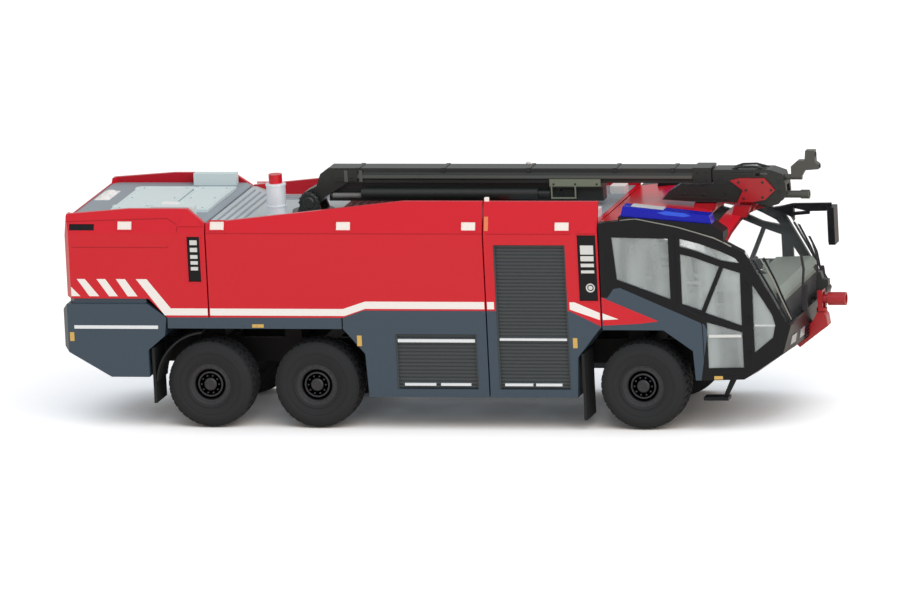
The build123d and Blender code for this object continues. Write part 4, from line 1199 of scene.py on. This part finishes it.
# Boom's head: bolts, thin plates and a pipe, and the lenses of the camera unit at the tip
headFittings = {
    "plateBolts": [(102.8, 83.0), (105.4, 80.2), (104.4, 77.2), (111.4, 83.0), (114.4, 80.2), (111.2, 77.6)],
    "plateBolt": (0.45, 4.9, 5.4),
    "bolts": [(96.2, 84.2), (98.0, 79.0), (90.0, 78.6), (83.0, 78.6), (117.0, 83.0), (117.2, 79.4)],
    "bolt": (0.5, 3.9, 4.5),
    "plateY": (3.9, 4.35),
    "plates": [
        [(78.0, 77.2), (99.0, 76.6), (100.4, 77.6), (79.6, 78.2)],
        [(94.2, 85.6), (107.8, 85.6), (107.8, 86.3), (94.2, 86.3)],
        [(94.4, 82.2), (98.6, 82.2), (98.0, 83.0), (94.4, 83.0)],
    ],
    "pipe": [(100.0, 2.0, 87.1), (103.0, 2.3, 88.1), (108.0, 2.4, 88.2), (112.5, 2.1, 87.1)],
    "pipeRadius": 0.42,
    "lenses": [
        # foot in X, then Y, Z and radius
        (129.4, 0.0, 92.0, 0.95), (130.8, 0.0, 87.9, 0.7),
    ],
    "lensProfile": [(0.0, 1.0), (0.5, 1.0), (0.35, 0.7)],    # ahead of the foot, share of the radius
    "lensEnd": (0.2, 0.02),
    "lensSteps": 20,
}


def makeHeadFittings(spec):
    bm = bmesh.new()
    addStuds(bm, spec["plateBolts"], spec["plateBolt"])
    addStuds(bm, spec["bolts"], spec["bolt"])
    for outline in spec["plates"]:
        addPair(bm, outline, *spec["plateY"])
    addTube(bm, spec["pipe"], spec["pipeRadius"])
    addPiece("headFittings", bm, "boomBlack", "boom_extension")

    bm = bmesh.new()
    steps = spec["lensSteps"]
    for x, y, z, radius in spec["lenses"]:
        profile = [(ahead, radius * share) for ahead, share in spec["lensProfile"]]
        profile.append(spec["lensEnd"])
        rings = [[(x + ahead, a, b) for a, b in circle((y, z), reach, steps)] for ahead, reach in profile]
        addShell(bm, rings)
    addPiece("unitLenses", bm, "dashBlack", "boom_extension", smooth=True)


makeHeadFittings(headFittings)
print("boom ready")

# Bright glass on the far mirror, the tail's grille and bare plate, and the grille between the headlamps
endFittings = {
    "mirror": (28.6, 34.4, 54.4, 66.2),
    "mirrorX": (126.2, 126.5),
    "tailX": (-136.35, -136.0),
    "tailSlats": (50.6, 66.4, 12),
    "tailHalf": 22.0,
    "tailEdge": 0.8,
    "plate": (-138.35, -137.9, -6.0, 6.0, 33.4, 36.6),
    "noseSlats": (24.6, 32.2, 6),
    "noseHalf": 8.4,
    "noseDepths": (0.35, -0.3),
    "noseSlat": 0.55,
}


def makeEnds(spec):
    bm = bmesh.new()
    addPrism(bm, rectangle(*spec["mirror"]), "X", *spec["mirrorX"])
    addPiece("mirrorGlass", bm, "mirrorSilver")

    bm = bmesh.new()
    low, high, count = spec["tailSlats"]
    x0, x1 = spec["tailX"]
    half, edge = spec["tailHalf"], spec["tailEdge"]
    for z0, z1 in [(low - edge, low), (high, high + edge)]:
        addBlock(bm, x0, x1, -half - edge, half + edge, z0, z1)
    for y0, y1 in [(-half - edge, -half), (half, half + edge), (-edge / 2, edge / 2)]:
        addBlock(bm, x0, x1, y0, y1, low, high)
    pitch = (high - low) / count
    for k in range(count):
        z = low + k * pitch
        slat = [(x1 - 0.05, z), (x1 - 0.4, z + 0.1), (x1 - 0.4, z + 0.35), (x1 - 0.05, z + pitch * 0.75)]
        addPrism(bm, slat, "Y", -half, half)
    addPiece("tailGrille", bm, "shutterGrey")

    bm = bmesh.new()
    addBlock(bm, *spec["plate"])
    addPiece("tailPlate", bm, "lampWhite")

    bm = bmesh.new()
    low, high, count = spec["noseSlats"]
    front, rear = spec["noseDepths"]
    share = spec["noseHalf"] / cabShape["post"]
    for k in range(count):
        z0 = low + k * (high - low) / count
        z1 = z0 + spec["noseSlat"]
        corners = [(z0, front), (z1, front), (z1, rear), (z0, rear)]
        addShell(bm, [[nosePoint(z, at, depth) for z, depth in corners] for at in spread(-share, share, 5)])
    addPiece("noseGrille", bm, "cabBlack")


makeEnds(endFittings)

# Shutter guides, and the rivets along the lockers' edges
sideFittings = {
    "guides": [(-16.4, 13.1, 14.8, 34.5), (20.5, 46.4, 14.8, 66.6)],
    "guideWidth": 0.55,
    "guideDepths": (1.3, 0.25),    # how far its faces lie inside the body's side
    "rivets": [
        # start and end, height, spacing
        (-26.0, 15.0, 12.9, 3.4), (19.0, 46.0, 12.9, 3.4), (-96.0, -37.0, 37.2, 4.9),
    ],
    "rivetRadius": 0.2,
    "rivetFoot": -0.1,
    "rivetTop": 0.12,
}


def makeSideFittings(spec):
    bm = bmesh.new()
    width = spec["guideWidth"]
    deep, shallow = spec["guideDepths"]
    for x0, x1, z0, z1 in spec["guides"]:
        for a, b in [(x0, x0 + width), (x1 - width, x1)]:
            addPair(bm, rectangle(a, b, z0, z1), side - deep, side - shallow)
    addPiece("shutterGuides", bm, "shutterGrey")
    bm = bmesh.new()
    foot, top = side + spec["rivetFoot"], side + spec["rivetTop"]
    for x0, x1, z, pitch in spec["rivets"]:
        for k in range(int((x1 - x0) / pitch) + 1):
            addStud(bm, (x0 + k * pitch, z), spec["rivetRadius"], foot, top)
    addPiece("skirtRivets", bm, "skirtGrey")


makeSideFittings(sideFittings)

# Curved lips over the rear wheels, from the mudflap up under the skirt
archLips = {
    "centre": (-85.2, 15.7),
    "radii": (18.7, 19.3),
    "across": (20.6, 34.2),
    "angles": (96.0, 176.0, 19),
}


def makeArchLips(spec):
    bm = bmesh.new()
    x, z = spec["centre"]
    arcs = []
    for radius in spec["radii"]:
        angles = [math.radians(angle) for angle in spread(*spec["angles"])]
        arcs.append([(x + radius * math.cos(angle), z + radius * math.sin(angle)) for angle in angles])
    inner, outer = arcs
    addPair(bm, inner + outer[::-1], *spec["across"])
    addPiece("archLips", bm, "flapBlack")


makeArchLips(archLips)
print("ends ready")
